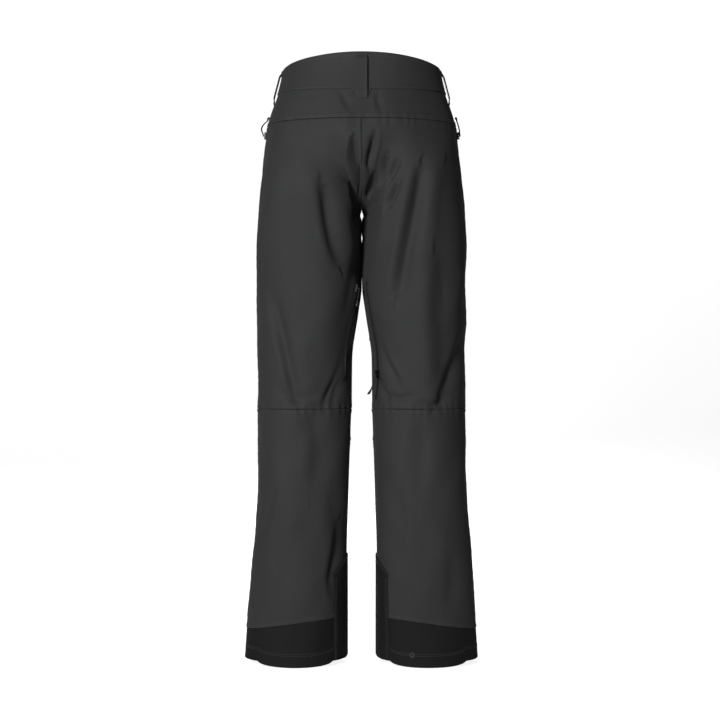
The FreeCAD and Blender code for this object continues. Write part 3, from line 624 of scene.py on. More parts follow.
def seam_lift(side, level, around, bands):
    """Heights of a panel beside its seams. bands are the heights of the folded seams along its lower, upper,
    first and last edges. Also the distance of each point from the first edge."""
    points, _ = surface(side, level, around)
    across = np.linalg.norm(np.diff(points, axis=1), axis=2)
    run = np.concatenate([np.zeros((len(points), 1)), np.cumsum(across, axis=1)], axis=1)
    distances = (level - level[0], level[-1] - level, run, run[:, -1:] - run)
    return sum(edge_lift(distance, band) for distance, band in zip(distances, bands)), run


def add_panel(piece, side, level, around, bands, thick=CLOTH, slots=(0, 1)):
    """A panel of draped cloth."""
    height, run = seam_lift(side, level, around, bands)
    outer, _ = surface(side, level, around, height)
    inner, _ = surface(side, level, around, -thick)
    piece.solid(outer, inner, flat(run + 1000 * around[0, 0], level), slots)


def flat(across, up):
    """Where the points of a grid are on the flat cloth."""
    return np.stack(np.broadcast_arrays(across, up), -1)


STITCH_LONG = 2.5
STITCH_PITCH = 3.5
THREAD = 0.26
BEAD = ((0.0, 0.0), (0.2, 1.0), (0.8, 1.0), (1.0, 0.0))


def prism_faces(index):
    """Faces of many small closed shapes: index holds the point numbers of each one's rings of four."""
    faces = [index[:, 0, ::-1], index[:, -1]]
    for a, b in ((index[:, k], index[:, k + 1]) for k in range(index.shape[1] - 1)):
        for j in range(4):
            n = (j + 1) % 4
            faces.append(np.stack([a[:, j], a[:, n], b[:, n], b[:, j]], -1))
    return np.concatenate(faces)


def add_stitches(piece, line, out, slot, long=STITCH_LONG, pitch=STITCH_PITCH, thread=THREAD):
    """A row of separate stitches along a line of points, each a short raised bead of thread."""
    run = lengths_along(line)
    starts = np.arange(pitch * 0.3, run[-1] - long, pitch)

    def at_runs(values, at):
        return np.stack([np.interp(at, run, values[:, k]) for k in range(3)], -1)

    out = np.broadcast_to(out, line.shape)
    rings = []
    for share, height in BEAD:
        at = starts + share * long
        centre = at_runs(line, at)
        normal = unit(at_runs(out, at))
        across = unit(np.cross(at_runs(line, at + 0.5) - centre, normal)) * thread * (0.6 + 0.4 * height)
        top = centre + normal * thread * height
        base = centre - normal * thread
        rings.append(np.stack([base - across, top - across, top + across, base + across], 1))
    index = np.arange(len(starts) * len(BEAD) * 4).reshape(len(starts), len(BEAD), 4)
    piece.add(np.stack(rings, 1), prism_faces(index), slot)


def stitch_along(piece, side, level, around, slot, lift=0.35):
    """A row of stitches on the draped cloth, along levels and places."""
    line, out = surface(side, level, around, lift)
    add_stitches(piece, line, out, slot)


def rows_between(low, high, step=4.0):
    """Evenly spaced levels."""
    return np.linspace(low, high, max(3, math.ceil(abs(high - low) / step)))


def full_turn(count):
    """Angles all the way round."""
    return np.linspace(0, 2 * math.pi, count, endpoint=False)


def ring_index(rows, sides):
    """Point numbers of a grid that closes on itself."""
    index = np.arange(rows * sides).reshape(rows, sides)
    return np.hstack([index, index[:, :1]])


TUBE_SIDES = 8


def add_tube(piece, line, radius, slot, up):
    """A cord along a line of points."""
    ahead = unit(np.gradient(line, axis=0))
    across = unit(np.cross(ahead, up))
    lifted = unit(np.cross(across, ahead))
    turn = full_turn(TUBE_SIDES)[:, None]
    ring = across[:, None] * np.cos(turn) + lifted[:, None] * np.sin(turn)
    index = ring_index(len(line), TUBE_SIDES)
    near, far = (
        [[row[k], row[k + 1], row[-3 - k], row[-2 - k]] for k in range(TUBE_SIDES // 2 - 1)]
        for row in (index[0], index[-1])
    )
    faces = np.vstack([strip_faces(index), near, np.array(far)[:, ::-1]])
    piece.add(line[:, None] + ring * radius, faces[:, ::-1], slot)


def add_lathe(piece, centre, axis, outline, sides=32):
    """A turned part: outline holds (radius, height) pairs of a closed loop round the axis."""
    side_way = unit(np.cross(axis, [0.3, 0.2, 1.0]))
    turn = full_turn(sides)[:, None]
    ring = side_way * np.cos(turn) + np.cross(axis, side_way) * np.sin(turn)
    outline = np.array(outline, float)
    points = centre + ring[:, None] * outline[:, :1] + axis * outline[:, 1:]
    index = ring_index(sides, len(outline))
    piece.add(points, strip_faces(np.vstack([index, index[:1]]))[:, ::-1], 0)


# --- materials


def new_material(name):
    """A node material, and helpers that fill a node's inputs, by links or values, and that add a node."""
    material = bpy.data.materials.new(name)
    material.use_nodes = True
    tree = material.node_tree

    def fill(made, inputs):
        for socket, source in inputs.items():
            if isinstance(source, bpy.types.NodeSocket):
                tree.links.new(source, made.inputs[socket])
            else:
                made.inputs[socket].default_value = source

    def node(kind, inputs=None, **options):
        made = tree.nodes.new(f"ShaderNode{kind}")
        for key, value in options.items():
            setattr(made, key, value)
        fill(made, inputs or {})
        return made.outputs

    def shade_with(inputs):
        fill(tree.nodes["Principled BSDF"], inputs)

    return material, node, shade_with


def tones(colour, spread):
    """A darker and a lighter shade of a colour, as the inputs of a mixing node."""
    dark, light = (tuple(min(1.0, c * share) for c in colour) + (1.0,) for share in (1 - spread, 1 + spread))
    return {"Color1": dark, "Color2": light}


YARN_SHADE = (0.55, 0.55, 0.57, 1)


def cloth_material(name, colour, pitch=0.8, rough=0.78, sheen=0.04, weave=0.25, mottle=0.1, twill=False):
    """Woven cloth: crossing yarns, soft patches of wear and tone, and a faint sheen. pitch is the distance
    between yarns in millimetres."""
    material, node, shade_with = new_material(name)
    uv = node("UVMap", uv_map="cloth")["UV"]
    place = node("TexCoord")["Object"]

    def noise(where, scale, detail):
        return node("TexNoise", {"Vector": where, "Scale": scale, "Detail": detail})["Fac"]

    turned = node("Mapping", {"Vector": uv, "Rotation": (0, 0, math.radians(45 if twill else 0))})[0]
    scale = 1000 / pitch / 2 / 3.1416
    warp = node("TexWave", {"Vector": turned, "Scale": scale}, bands_direction="X")["Fac"]
    weft = node("TexWave", {"Vector": turned, "Scale": scale}, bands_direction="Y")["Fac"]
    yarns = node("Math", {0: warp, 1: weft}, operation="ADD")[0]
    grain = noise(place, 320.0, 2.0)
    tone = node("Math", {0: noise(place, 9.0, 5.0), 1: grain}, operation="ADD")[0]
    spread = node("MapRange", {"Value": tone, "From Min": 0.7, "From Max": 1.3})[0]
    mixed = node("MixRGB", {"Fac": spread, **tones(colour, mottle)})[0]
    depth = node("Math", {0: yarns, 1: 0.16}, operation="MULTIPLY")[0]
    tint = node("MixRGB", {"Fac": depth, "Color1": mixed, "Color2": YARN_SHADE}, blend_type="MULTIPLY")[0]
    shine = node("MapRange", {"Value": grain, "To Min": rough - 0.06, "To Max": min(1.0, rough + 0.08)})[0]
    height = node("Math", {0: yarns, 1: noise(uv, 900.0, 3.0)}, operation="ADD")[0]
    bump = node("Bump", {"Height": height, "Strength": weave, "Distance": 0.00012})[0]
    soft = noise(place, 55.0, 4.0)
    crumple = node("Bump", {"Height": soft, "Normal": bump, "Strength": 0.22, "Distance": 0.0022})[0]
    shade_with({"Base Color": tint, "Roughness": shine, "Normal": crumple, "Specular IOR Level": 0.35})
    shade_with({"Sheen Weight": sheen, "Sheen Roughness": 0.5})
    return material


def hard_material(name, colour, rough, metallic, speck=0.1):
    """Moulded plastic or plated metal with fine wear."""
    material, node, shade_with = new_material(name)
    place = node("TexCoord")["Object"]
    grain = node("TexNoise", {"Vector": place, "Scale": 700.0, "Detail": 4.0})["Fac"]
    mixed = node("MixRGB", {"Fac": grain, **tones(colour, speck)})[0]
    shine = node("MapRange", {"Value": grain, "To Min": max(0.05, rough - 0.1), "To Max": rough + 0.12})[0]
    bump = node("Bump", {"Height": grain, "Strength": 0.15, "Distance": 0.0001})[0]
    shade_with({"Base Color": mixed, "Roughness": shine, "Metallic": metallic, "Normal": bump})
    return material


SHELL = cloth_material("shell_cloth", (0.036, 0.0365, 0.038))
BACKER = cloth_material("shell_backing", (0.085, 0.087, 0.092), pitch=1.2, rough=0.9, sheen=0.3)
TRIM = cloth_material(
    "tough_trim", (0.006, 0.006, 0.0063), pitch=1.1, rough=0.8, sheen=0.02, weave=0.4, twill=True
)
LINING = cloth_material("brushed_lining", (0.06, 0.062, 0.066), pitch=1.4, rough=0.95, sheen=0.5)
NETTING = cloth_material("vent_netting", (0.03, 0.03, 0.032), pitch=2.2, rough=0.85, weave=0.9)
TAPE = cloth_material("zip_tape_cloth", (0.015, 0.015, 0.016), pitch=0.9, rough=0.6, weave=0.4)
ELASTIC = cloth_material("gripper_elastic", (0.02, 0.02, 0.022), pitch=2.4, rough=0.8, weave=0.9)
THREADS = cloth_material("sewing_thread", (0.062, 0.063, 0.066), pitch=0.5, rough=0.55, sheen=0.1)
CORD = cloth_material("pull_cord", (0.016, 0.016, 0.017), pitch=1.0, rough=0.6, weave=0.8, twill=True)
PLASTIC = hard_material("moulded_black", (0.016, 0.016, 0.017), 0.42, 0.0)
METAL = hard_material("dark_plating", (0.07, 0.07, 0.074), 0.4, 1.0)
ACCENT = cloth_material("garment_loop_cloth", (0.05, 0.012, 0.016), pitch=1.0, rough=0.7)


# --- how far the cloth would follow the thighs and shins, and the normals of its cut edges


JOINTS = {joint["name"]: joint for joint in frame["joints"]}
HIP_Y, HIP_Z = (c / MM for c in JOINTS["left_hip"]["pos_m"][1:])
KNEE_ZONE_TOP = 558
KNEE_ZONE_LONG = 230
HIP_ZONE_LONG = 195
SPLIT = KNEE_PANEL_TOP


def beside_vent(points):
    """1 on the cloth round a vent, which moves with its zip, and 0 away from it."""
    x, y, z = np.abs(points[:, 0]), points[:, 1], points[:, 2]
    return (1 - ramp(np.abs(y - vent_line(z)), 24, 70)) * (1 - ramp(x, 34, 80))


def thigh_share(points):
    """How much a point of cloth follows the thigh: nothing at the crotch and the waist, all of it down the
    leg, and all of it round the hand pocket beside the hinge."""
    x, y, z = np.abs(points[:, 0]), points[:, 1], points[:, 2]
    down = smooth(((CROTCH - z) * 0.866 + x * 0.5) / HIP_ZONE_LONG)
    radius = np.hypot(y - HIP_Y, z - HIP_Z)
    by_zip = ramp(y, 18, -10) * ramp(y, -96, -62)
    inner = 35 + 70 * by_zip
    pocket = (1 - smooth((radius - inner) / (113 - inner))) * ramp(x, 70, 140) * (1 - ramp(z, 925, 933))
    vent = beside_vent(points) * (1 - ramp(z, 682, 735))
    return 1 - (1 - down) * (1 - pocket) * (1 - vent)


def shin_share(points):
    """How much a point of cloth follows the shin."""
    z = points[:, 2]
    down = smooth((KNEE_ZONE_TOP - z) / KNEE_ZONE_LONG)
    return down * (1 - beside_vent(points) * ramp(z, 468, 492))


def bend(thing, first, second, start, end, share):
    """Bake a piece of cloth's transform into its mesh and work out each point's share; nothing applies the
    shares.
    """
    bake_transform(thing)
    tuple(start)
    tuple(end)
    points = np.empty(len(thing.data.vertices) * 3, np.float32)
    thing.data.vertices.foreach_get("co", points)
    values = share(points.reshape(-1, 3).astype(float) / MM)


def bend_at_hip(thing, word):
    bend(thing, "pelvis", f"{word}_thigh", (0, 0, CROTCH * MM), (0, 0, SPLIT * MM), thigh_share)


def bend_at_knee(thing, word):
    end = (KNEE_ZONE_TOP - KNEE_ZONE_LONG) * MM
    bend(thing, f"{word}_thigh", f"{word}_shin", (0, 0, KNEE_ZONE_TOP * MM), (0, 0, end), shin_share)


def keep_normals(thing, first, values):
    """Shade a cut edge as if the cloth ran on across it: values are its normals, from point first on."""
    normals = np.zeros((len(thing.data.vertices), 3))
    normals[first : first + len(values)] = values
    thing.data.normals_split_custom_set_from_vertices(normals.tolist())


def grid_normals(points, out):
    """Directions square to a grid of points, on the side of out."""
    normal = unit(np.cross(np.gradient(points, axis=1), np.gradient(points, axis=0)))
    return normal * np.sign(np.sum(normal * out, -1, keepdims=True))


# --- shell panels


EDGE = 0.0012
ROWS_IN = (1.9, 5.2)
# Where the seat is creased most, and its grid is finest: these levels, and this far from the centre seam.
CREASED_LEVELS = (770, 915)
CREASED_WIDE = 95
CLOTHS = (SHELL, BACKER, THREADS)
GAP = 0.15
FINE_GRID = 2.4
FOLDED = (0.5, 0, 0, 0)


def cloth_grid(start, end, low, high, wide=PANEL_WIDE):
    """Levels and places of a panel's grid. low and high are its lower and upper edges."""
    around = places(start, end, wide)
    bottom, top = (edge(around) if callable(edge) else edge + 0 * around for edge in (low, high))
    return columns(around, bottom, top, rows_up(float(np.mean(top - bottom))))


def beside_side_seam(distance):
    """Place round the outline that far behind the side seam, in millimetres."""
    return 1 - distance / PANEL_WIDE


def level_with(shares, level, low, high):
    """The same shares with the nearest one moved onto a level."""
    target = (level - low) / (high - low)
    shares = shares.copy()
    shares[np.argmin(np.abs(shares - target))] = target
    return shares


def add_rise_tape(piece):
    """The sealing tape inside the seam that runs from the yoke, under the crotch, to the foot of the fly."""
    behind = np.linspace(YOKE - 2, CROTCH + 0.2, 60)
    before = np.linspace(CROTCH + 0.2, NOTCH_BOTTOM + 12, 40)[1:]
    line = np.concatenate([surface(1, behind, EDGE)[0], surface(1, before, 2 - EDGE)[0]])
    line[:, 0] = 0
    ahead = unit(np.gradient(line, axis=0))
    inward = np.stack([0 * ahead[:, 0], ahead[:, 2], -ahead[:, 1]], -1)
    across = np.linspace(-5, 5, 7)[:, None] * np.array([1.0, 0, 0])
    outer = (line + 4.5 * inward)[:, None] + across
    inner = (line + 5.0 * inward)[:, None] + across
    piece.solid(outer, inner, slots=(3, 3))


def back_upper(side, word):
    """The seat and the back of the thigh, in two pieces that meet at mid-thigh."""
    low, high = KNEE + GAP, YOKE - 0.2
    shares = level_with(rows_up(high - low), SPLIT, low, high)
    levels = halved(low + (high - low) * shares, *CREASED_LEVELS)
    spots = halved(places(EDGE, 1 - EDGE, PANEL_WIDE), 0.03, CREASED_WIDE / PANEL_WIDE)
    level, around = on_grid(levels, spots)
    height, run = seam_lift(side, level, around, (0, 0, 0.55 if side > 0 else 0, 0.55))
    outer, out = surface(side, level, around, height)
    inner, _ = surface(side, level, around, -CLOTH)
    uv = flat(run, level)
    normals = grid_normals(outer, out)
    cut = int(np.argmin(np.abs(levels - SPLIT)))
    for part, rows, cut_row, bend_cloth in (
        ("seat", slice(cut, None), 0, bend_at_hip),
        ("knee_back", slice(0, cut + 1), cut, bend_at_knee),
    ):
        piece = Piece()
        piece.solid(outer[rows], inner[rows], uv[rows], (0, 1))
        seam = rows_between(levels[rows][0], levels[rows][-1], 6)
        for inset in ROWS_IN:
            stitch_along(piece, side, seam, beside_side_seam(inset), 2, 0.75)
            if side > 0:
                stitch_along(piece, side, seam, inset / PANEL_WIDE, 2, 0.75)
        if part == "seat" and side > 0:
            add_rise_tape(piece)
        node = f"{word}_back_upper_panel"
        thing = piece.build(f"{word}_{part}_cloth", CLOTHS + (TAPE,), None, "shell_fabric", node)
        keep_normals(thing, cut_row * len(spots), normals[cut])
        bend_cloth(thing, word)


def notched_grid(low, high, notch_from):
    """A front piece's grid whose inner edge steps back to make room for the fly."""
    levels = low + graded(high - low)
    if low < notch_from < high:
        apart = levels[np.abs(levels - notch_from) > 1]
        levels = np.sort(np.append(apart, [notch_from - 0.1, notch_from + 0.1]))
    end = np.where(levels > notch_from, around_for_x(FLY_NOTCH - 0.3, levels), 2 - EDGE)
    around = places(1 + EDGE, end[:, None], PANEL_WIDE)
    return np.broadcast_to(levels[:, None], around.shape), around


def stitch_above(piece, side, level, start, end, lift):
    """The rows of stitches above a level seam, between two places."""
    for inset in ROWS_IN:
        stitch_along(piece, side, level + inset, np.linspace(start, end, 60), 2, lift)


def front_upper(side, word):
    """The front of the thigh and hip, from the knee panel to the yoke."""
    piece = Piece()
    add_panel(piece, side, *notched_grid(KNEE_PANEL_TOP + GAP, YOKE - 0.2, NOTCH_BOTTOM), FOLDED)
    levels = rows_between(KNEE_PANEL_TOP + 2, NOTCH_BOTTOM - 2, 6)
    if side > 0:
        for inset in ROWS_IN:
            stitch_along(piece, side, levels, 2 - inset / PANEL_WIDE, 2)
    stitch_above(piece, side, KNEE_PANEL_TOP, 1.01, 1.99, 0.8)
    thing = piece.build(f"{word}_front_cloth", CLOTHS, None, "shell_fabric", f"{word}_front_upper_panel")
    bend_at_hip(thing, word)


def knee_panel(side, word):
    """The shaped knee."""
    piece = Piece()
    grid = cloth_grid(1 + EDGE, 2 - EDGE, KNEE_PANEL_LOW + GAP, KNEE_PANEL_TOP - GAP)
    add_panel(piece, side, *grid, FOLDED)
    stitch_above(piece, side, KNEE_PANEL_LOW, 1.01, 1.99, 0.8)
    thing = piece.build(f"{word}_knee_cloth", CLOTHS, None, "shell_fabric", f"{word}_knee_panel")
    bend_at_knee(thing, word)


def lower_panels(side, word):
    """The back and the front of the lower leg."""
    for part, start, end, top, edges in (
        ("back", 0, 1, KNEE, (0.5, 0.5, 0, 0.5)),
        ("front", 1, 2, KNEE_PANEL_LOW, FOLDED),
    ):
        piece = Piece()
        grid = cloth_grid(start + EDGE, end - EDGE, lambda spot: hem_seam(spot) + GAP, top - GAP)
        add_panel(piece, side, *grid, edges)
        across = np.linspace(start + EDGE + 0.01, end - EDGE - 0.01, 60)
        for inset in ROWS_IN:
            stitch_along(piece, side, hem_seam(across) + inset, across, 2, 0.8)
            if part == "back":
                stitch_along(piece, side, KNEE - inset, across, 2, 0.8)
                stitch_along(piece, side, rows_between(80, KNEE - 8, 6), beside_side_seam(inset), 2, 0.8)
        node = f"{word}_{part}_lower_panel"
        thing = piece.build(f"{word}_{part}_shin_cloth", CLOTHS, None, "shell_fabric", node)
        bend_at_knee(thing, word)


# --- cuffs


HEM_FOLD = 20
GUARD_FACE = 1.9
GATHERS = 26


def hem_band(side, word):
    """The tough band round the hem, folded up inside and stitched."""
    piece = Piece()
    grid = cloth_grid(EDGE, 2 - EDGE, hem_edge, lambda spot: hem_seam(spot) - GAP, 2 * PANEL_WIDE)
    add_panel(piece, side, *grid, (0.25, 0, 0, 0), 1.6, (0, 0))
    across = np.linspace(0.01, 1.99, 150)
    for high in (HEM_FOLD, HEM_FOLD + 3):
        stitch_along(piece, side, hem_edge(across) + high, across, 1, 0.3)
    piece.build(f"{word}_hem_cloth", (TRIM, THREADS), f"{word}_shin", "trim_fabric", f"{word}_hem_band")


def scuff_guard(side, word):
    """The tough guard over the inside of the shin and ankle."""
    piece = Piece()
    signed = GUARD_REACH * (2 * rows_up(2 * GUARD_REACH * PANEL_WIDE) - 1)
    up = rows_up(GUARD_TOP - 12)
    level, near = columns(np.abs(signed), hem_edge(np.abs(signed)) + 3, guard_top(signed), up)
    edge = np.minimum(from_edge(level), (GUARD_REACH - near) * PANEL_WIDE)
    around = np.where(signed >= 0, near, 2 - near)
    outer, _ = surface(side, level, around, GUARD_FACE - bell(edge, 0.8))
    inner, _ = surface(side, level, around, 0.55)
    piece.solid(outer, inner, flat(signed * PANEL_WIDE, up[:, None] * GUARD_TOP))
    levels = rows_between(12, guard_top(GUARD_REACH) - 6)
    for spot, way in ((GUARD_REACH, -1), (2 - GUARD_REACH, 1)):
        for inset in (2.2, 5.6):
            stitch_along(piece, side, levels, spot + way * inset / PANEL_WIDE, 1, GUARD_FACE + GAP)
    for start, end in ((0.004, GUARD_REACH - 0.01), (2 - 0.004, 2 - GUARD_REACH + 0.01)):
        across = np.linspace(start, end, 30)
        for inset in (2.4, 5.8):
            levels = guard_top(np.minimum(across, 2 - across)) - inset
            stitch_along(piece, side, levels, across, 1, GUARD_FACE + GAP)
    piece.build(f"{word}_guard_cloth", (TRIM, THREADS), f"{word}_shin", "trim_fabric", f"{word}_scuff_guard")


def gaiter(side, word):
    """The inner gaiter that grips the boot, gathered on its elastic."""
    spots = np.linspace(EDGE, 2 - EDGE, 260)
    ripple = np.sin(spots * 2 * math.pi * GATHERS)
    up = np.linspace(16, 150, 40)
    gather = 1.6 * (1 - ramp(up, 30, 95))[:, None] * ripple - 0.8
    band_up = np.linspace(17, 37, 9)
    ribs = 0.25 * np.cos((band_up - 17) * 2 * math.pi / 4)[:, None]
    for name, look, slot, node, levels, outer, inner in (
        ("gaiter_cloth", LINING, "lining_fabric", "gaiter", up, gather - 9.4, gather - 10.2),
        ("elastic_band", ELASTIC, "elastic", "gaiter_elastic", band_up, ripple - 7.4 + ribs, ripple - 8.6),
    ):
        level, around = on_grid(levels, spots)
        piece = Piece()
        outer, inner = (skin(side, level, around, np.broadcast_to(v, level.shape))[0] for v in (outer, inner))
        piece.solid(outer, inner, flat(around * PANEL_WIDE, level))
        piece.build(f"{word}_{name}", (look,), f"{word}_shin", slot, f"{word}_{node}")


# --- yokes and waistband


def both_sides(low, high, share_up, lifts):
    """Grids that run from the left side, across the centre back, to the right side: one for each lift."""
    steps = ((1 - EDGE) * graded(PANEL_WIDE)[::-1] / PANEL_WIDE)[:-1]
    steps[-1] = max(steps[-1], EDGE)
    level, around = columns(steps, low(steps), high(steps), share_up)
    grids = []
    for lift in lifts:
        left, right = (surface(side, level, around, lift(level))[0] for side, _ in SIDES)
        grids.append(np.concatenate([left, right[:, ::-1]], 1))
    run = np.concatenate([steps, -steps[::-1]]) * PANEL_WIDE
    return grids, flat(run, np.concatenate([level, level[:, ::-1]], 1))


def yokes():
    """The back yoke in one piece and the two front yokes."""

    def low(around):
        return YOKE + GAP + 0 * around

    def high(around):
        return waist_seam(around) - GAP

    def face(level):
        return edge_lift(level - YOKE, 0.6) + edge_lift(high(0) - level + 6)

    def inside(_):
        return -CLOTH

    piece = Piece()
    (outer, inner), uv = both_sides(low, high, rows_up(50, FINE_GRID), (face, inside))
    piece.solid(outer, inner, uv, (0, 1))
    for side, _ in SIDES:
        for inset in ROWS_IN:
            stitch_along(piece, side, YOKE + 0.6 + inset, np.linspace(0.004, 0.99, 70), 2, 0.95)
    piece.build("back_yoke_cloth", CLOTHS, "pelvis", "shell_fabric", "back_yoke")
    for side, word in SIDES:
        piece = Piece()
        add_panel(piece, side, *notched_grid(YOKE + GAP, WAIST_SEAM - GAP, YOKE), (0.6, 0, 0, 0))
        stitch_above(piece, side, YOKE + 0.6, 1.01, float(around_for_x(FLY_NOTCH + 2, 940)), 0.95)
        piece.build(f"{word}_front_yoke_cloth", CLOTHS, "pelvis", "shell_fabric", f"{word}_front_yoke")


BAND_THICK = 2.8


def band_stitches(piece, side, across):
    """The rows of stitches on the face of the waistband."""
    for level in (waist_seam(across) + 3.2, waist_top(across) - 3.6, waist_top(across) - 7.2):
        stitch_along(piece, side, level, across, 1, 1.4)


def waistband():
    """The waistband: its back, its two fronts and the brushed lining inside them."""

    def low(around):
        return waist_seam(around) + GAP

    def face(level):
        return 1.2 - 1.9 * bell(from_edge(level), 1.1)

    def inside(level):
        return -BAND_THICK + 0.9 * bell(from_edge(level), 1.4)

    looks = (SHELL, THREADS)
    share = rows_up(60, FINE_GRID)
    piece = Piece()
    (outer, inner), uv = both_sides(low, waist_top, share, (face, inside))
    piece.solid(outer, inner, uv)
    for side, _ in SIDES:
        band_stitches(piece, side, np.linspace(0.045, 0.985, 90))
    piece.build("waistband_back_cloth", looks, "pelvis", "shell_fabric", "waistband_back")
    for side, word in SIDES:
        piece = Piece()
        spots = places(1 + EDGE, 1.998, PANEL_WIDE)
        level, around = columns(spots, low(spots), waist_top(spots), share)
        outer, inner = (surface(side, level, around, lift(level))[0] for lift in (face, inside))
        piece.solid(outer, inner, flat(around * PANEL_WIDE, level))
        band_stitches(piece, side, np.linspace(1.01, 1.985, 90))
        name = f"waistband_{word}_front"
        piece.build(f"{name}_cloth", looks, "pelvis", "shell_fabric", name)
    waistband_lining(share)


def waistband_lining(share):
    """The lining, in one ring inside the waistband."""
    spots = np.linspace(0.0, 2.0, 170)
    level, around = columns(spots, waist_seam(spots) + 2, waist_top(spots) - 1.2, share)
    rounded = 0.5 * bell(from_edge(level), 1.2)
    grids = []
    for lift in (-BAND_THICK - 0.2 - rounded, -BAND_THICK - 1.5 + rounded):
        left, right = (skin(side, level, around, lift)[0] for side, _ in SIDES)
        grids.append(np.concatenate([left[:, 1:-1], right[:, -2:0:-1]], 1))
    run = np.linspace(0, 4 * PANEL_WIDE, grids[0].shape[1])
    piece = Piece()
    piece.solid(*grids, flat(run, share[:, None] * 55), closed=True)
    across = np.linspace(0.01, 1.99, 160)
    for side, _ in SIDES:
        for level in (waist_seam(across) + 6, waist_top(across) - 6):
            line, out = skin(side, level, across, -BAND_THICK - 1.6)
            add_stitches(piece, line, -out, 1)
    piece.build("waistband_lining_cloth", (LINING, THREADS), "pelvis", "lining_fabric", "waistband_lining")


# --- belt loops, fly and tab


LOOP_WIDE = 20
LOOP_THICK = 1.7
LOOP_ROOM = 2.4
LOOP_DROP = 16


def belt_loop(name, side, around):
    """A folded strip sewn down at both ends, standing off the waistband between them."""
    seam = float(waist_seam(max(around, DIP_WIDE[1])))
    low, high = seam - LOOP_DROP, float(waist_top(around)) - 2
    (bottom, top), (out, _) = skin(side, np.array([low, high]), around, 0.5)
    if around == 0:
        bottom[0] = top[0] = 0
        out = np.array([0.0, 1.0, 0.0])
    up = unit(top - bottom)
    out = unit(out - up * (out @ up))
    across = np.cross(up, out)
    tall = float(np.linalg.norm(top - bottom))
    near_end = np.linspace(0, 16, 20)
    rows = np.concatenate([near_end, np.linspace(17, tall - 17, 16), tall - near_end[::-1]])
    stand = LOOP_ROOM * ramp(rows, 4, 12) * ramp(tall - rows, 4, 12)
    wide = np.array([-1, -0.97, -0.9, -0.78, -0.7, -0.4, 0, 0.4, 0.7, 0.78, 0.9, 0.97, 1])
    half = LOOP_WIDE / 2 * (1 - 0.04 * np.sin(math.pi * rows / tall))
    rim = bell(1 - np.abs(wide), 0.05)
    crown = 0.35 * (bell(np.abs(wide) - 0.84, 0.1) - 0.3) - 0.55 * rim
    tuck = -0.7 * (bell(rows, 1.2) + bell(tall - rows, 1.2))
    middle = bottom + up * rows[:, None] + out * stand[:, None]
    grid = middle[:, None] + across * (half[:, None] * wide)[..., None]
    outer = grid + out * (LOOP_THICK + crown + tuck[:, None])[..., None]
    inner = grid + out * (0.45 * rim)[:, None]
    piece = Piece()
    piece.solid(outer, inner, flat(wide * LOOP_WIDE / 2, rows[:, None]))
    for sign in (-1, 1):
        line = middle + out * (LOOP_THICK + 0.2) + across * sign * (half[:, None] - 2.2)
        add_stitches(piece, line, out, 1, 2.2, 3.0)
    piece.build(f"{name}_strip", (SHELL, THREADS), "pelvis", "shell_fabric", name)


def belt_loops():
    belt_loop("centre_back_belt_loop", 1, 0.0)
    for side, word in SIDES:
        belt_loop(f"{word}_side_belt_loop", side, 1.0)
        belt_loop(f"{word}_front_belt_loop", side, 1.55)


def front_place(level, across, lift=0.0):
    """A point on the centre front, which bends back a little to meet the front pieces beside the fly."""
    level, across, lift = np.broadcast_arrays(level, across, lift)
    middle = skin(1, level, 2.0)[0][..., 1]
    beside = skin(1, level, around_for_x(FLY_NOTCH, level))[0][..., 1]
    y = middle + (beside - middle) * (across / FLY_NOTCH) ** 2
    return np.stack([across, y - lift, level], -1)


def fly():
    """The placket with its curved stitching, and the underlap behind the zip."""
    piece = Piece()
    half, tall = FLY_NOTCH - 0.6, WAIST_SEAM - NOTCH_BOTTOM
    up = NOTCH_BOTTOM + 0.4 + rows_up(tall, FINE_GRID) * (tall - 0.6)
    level, across = on_grid(up, half * (2 * rows_up(2 * half, 2.0) - 1))
    edge = np.minimum(half - np.abs(across), from_edge(level))
    outer = front_place(level, across, 0.4 - 0.9 * bell(edge, 0.7))
    inner = front_place(level, across, -1.3)
    piece.solid(outer, inner, flat(across, level), (0, 1))
    turn = np.linspace(0, math.pi / 2, 14)[1:]
    bottom = NOTCH_BOTTOM + 20
    for inset in (0, 3.4):
        reach = 17.5 - inset
        xs = np.append(np.full(20, reach), reach * np.cos(turn))
        zs = np.append(np.linspace(WAIST_SEAM - 3, bottom, 20), bottom - (17 - inset) * np.sin(turn))
        add_stitches(piece, front_place(zs, xs, 0.65), np.array([0.0, -1.0, 0.0]), 2)
    piece.build("fly_placket_cloth", CLOTHS, "pelvis", "shell_fabric", "fly_placket")
    under = Piece()
    level, across = on_grid(np.linspace(FLY_BOTTOM + 12, WAIST_SEAM - 3, 26), np.linspace(-19, 19, 12))
    under.solid(front_place(level, across, -2.6), front_place(level, across, -3.8), flat(across, level))
    under.build("fly_underlap_cloth", (LINING,), "pelvis", "lining_fabric", "fly_underlap")


TAB_HINGE_X = 42
TAB_END_X = -26
TAB_LOW = WAIST_SEAM + 9
TAB_HIGH = WAIST_TOP - 8
TAB_NEAR = 2.6
TAB_FAR = 4.2
SNAP_XS = (-4, -17)
# Half outlines of a snap's cap and its stud: radius and height.
CAP_OUTLINE = (
    *((0.01, 0.35), (3.6, 0.35), (5.9, 0.3), (6.2, 0.8), (6.0, 1.5)),
    *((5.4, 1.9), (4.7, 1.75), (3.9, 2.2), (2.2, 2.55), (0.01, 2.65)),
)
STUD_OUTLINE = (
    *((0.01, 0.0), (4.9, 0.0), (5.0, 0.4), (4.4, 0.75)),
    *((2.6, 0.8), (2.4, 1.2), (2.0, 1.4), (0.01, 1.4)),
)


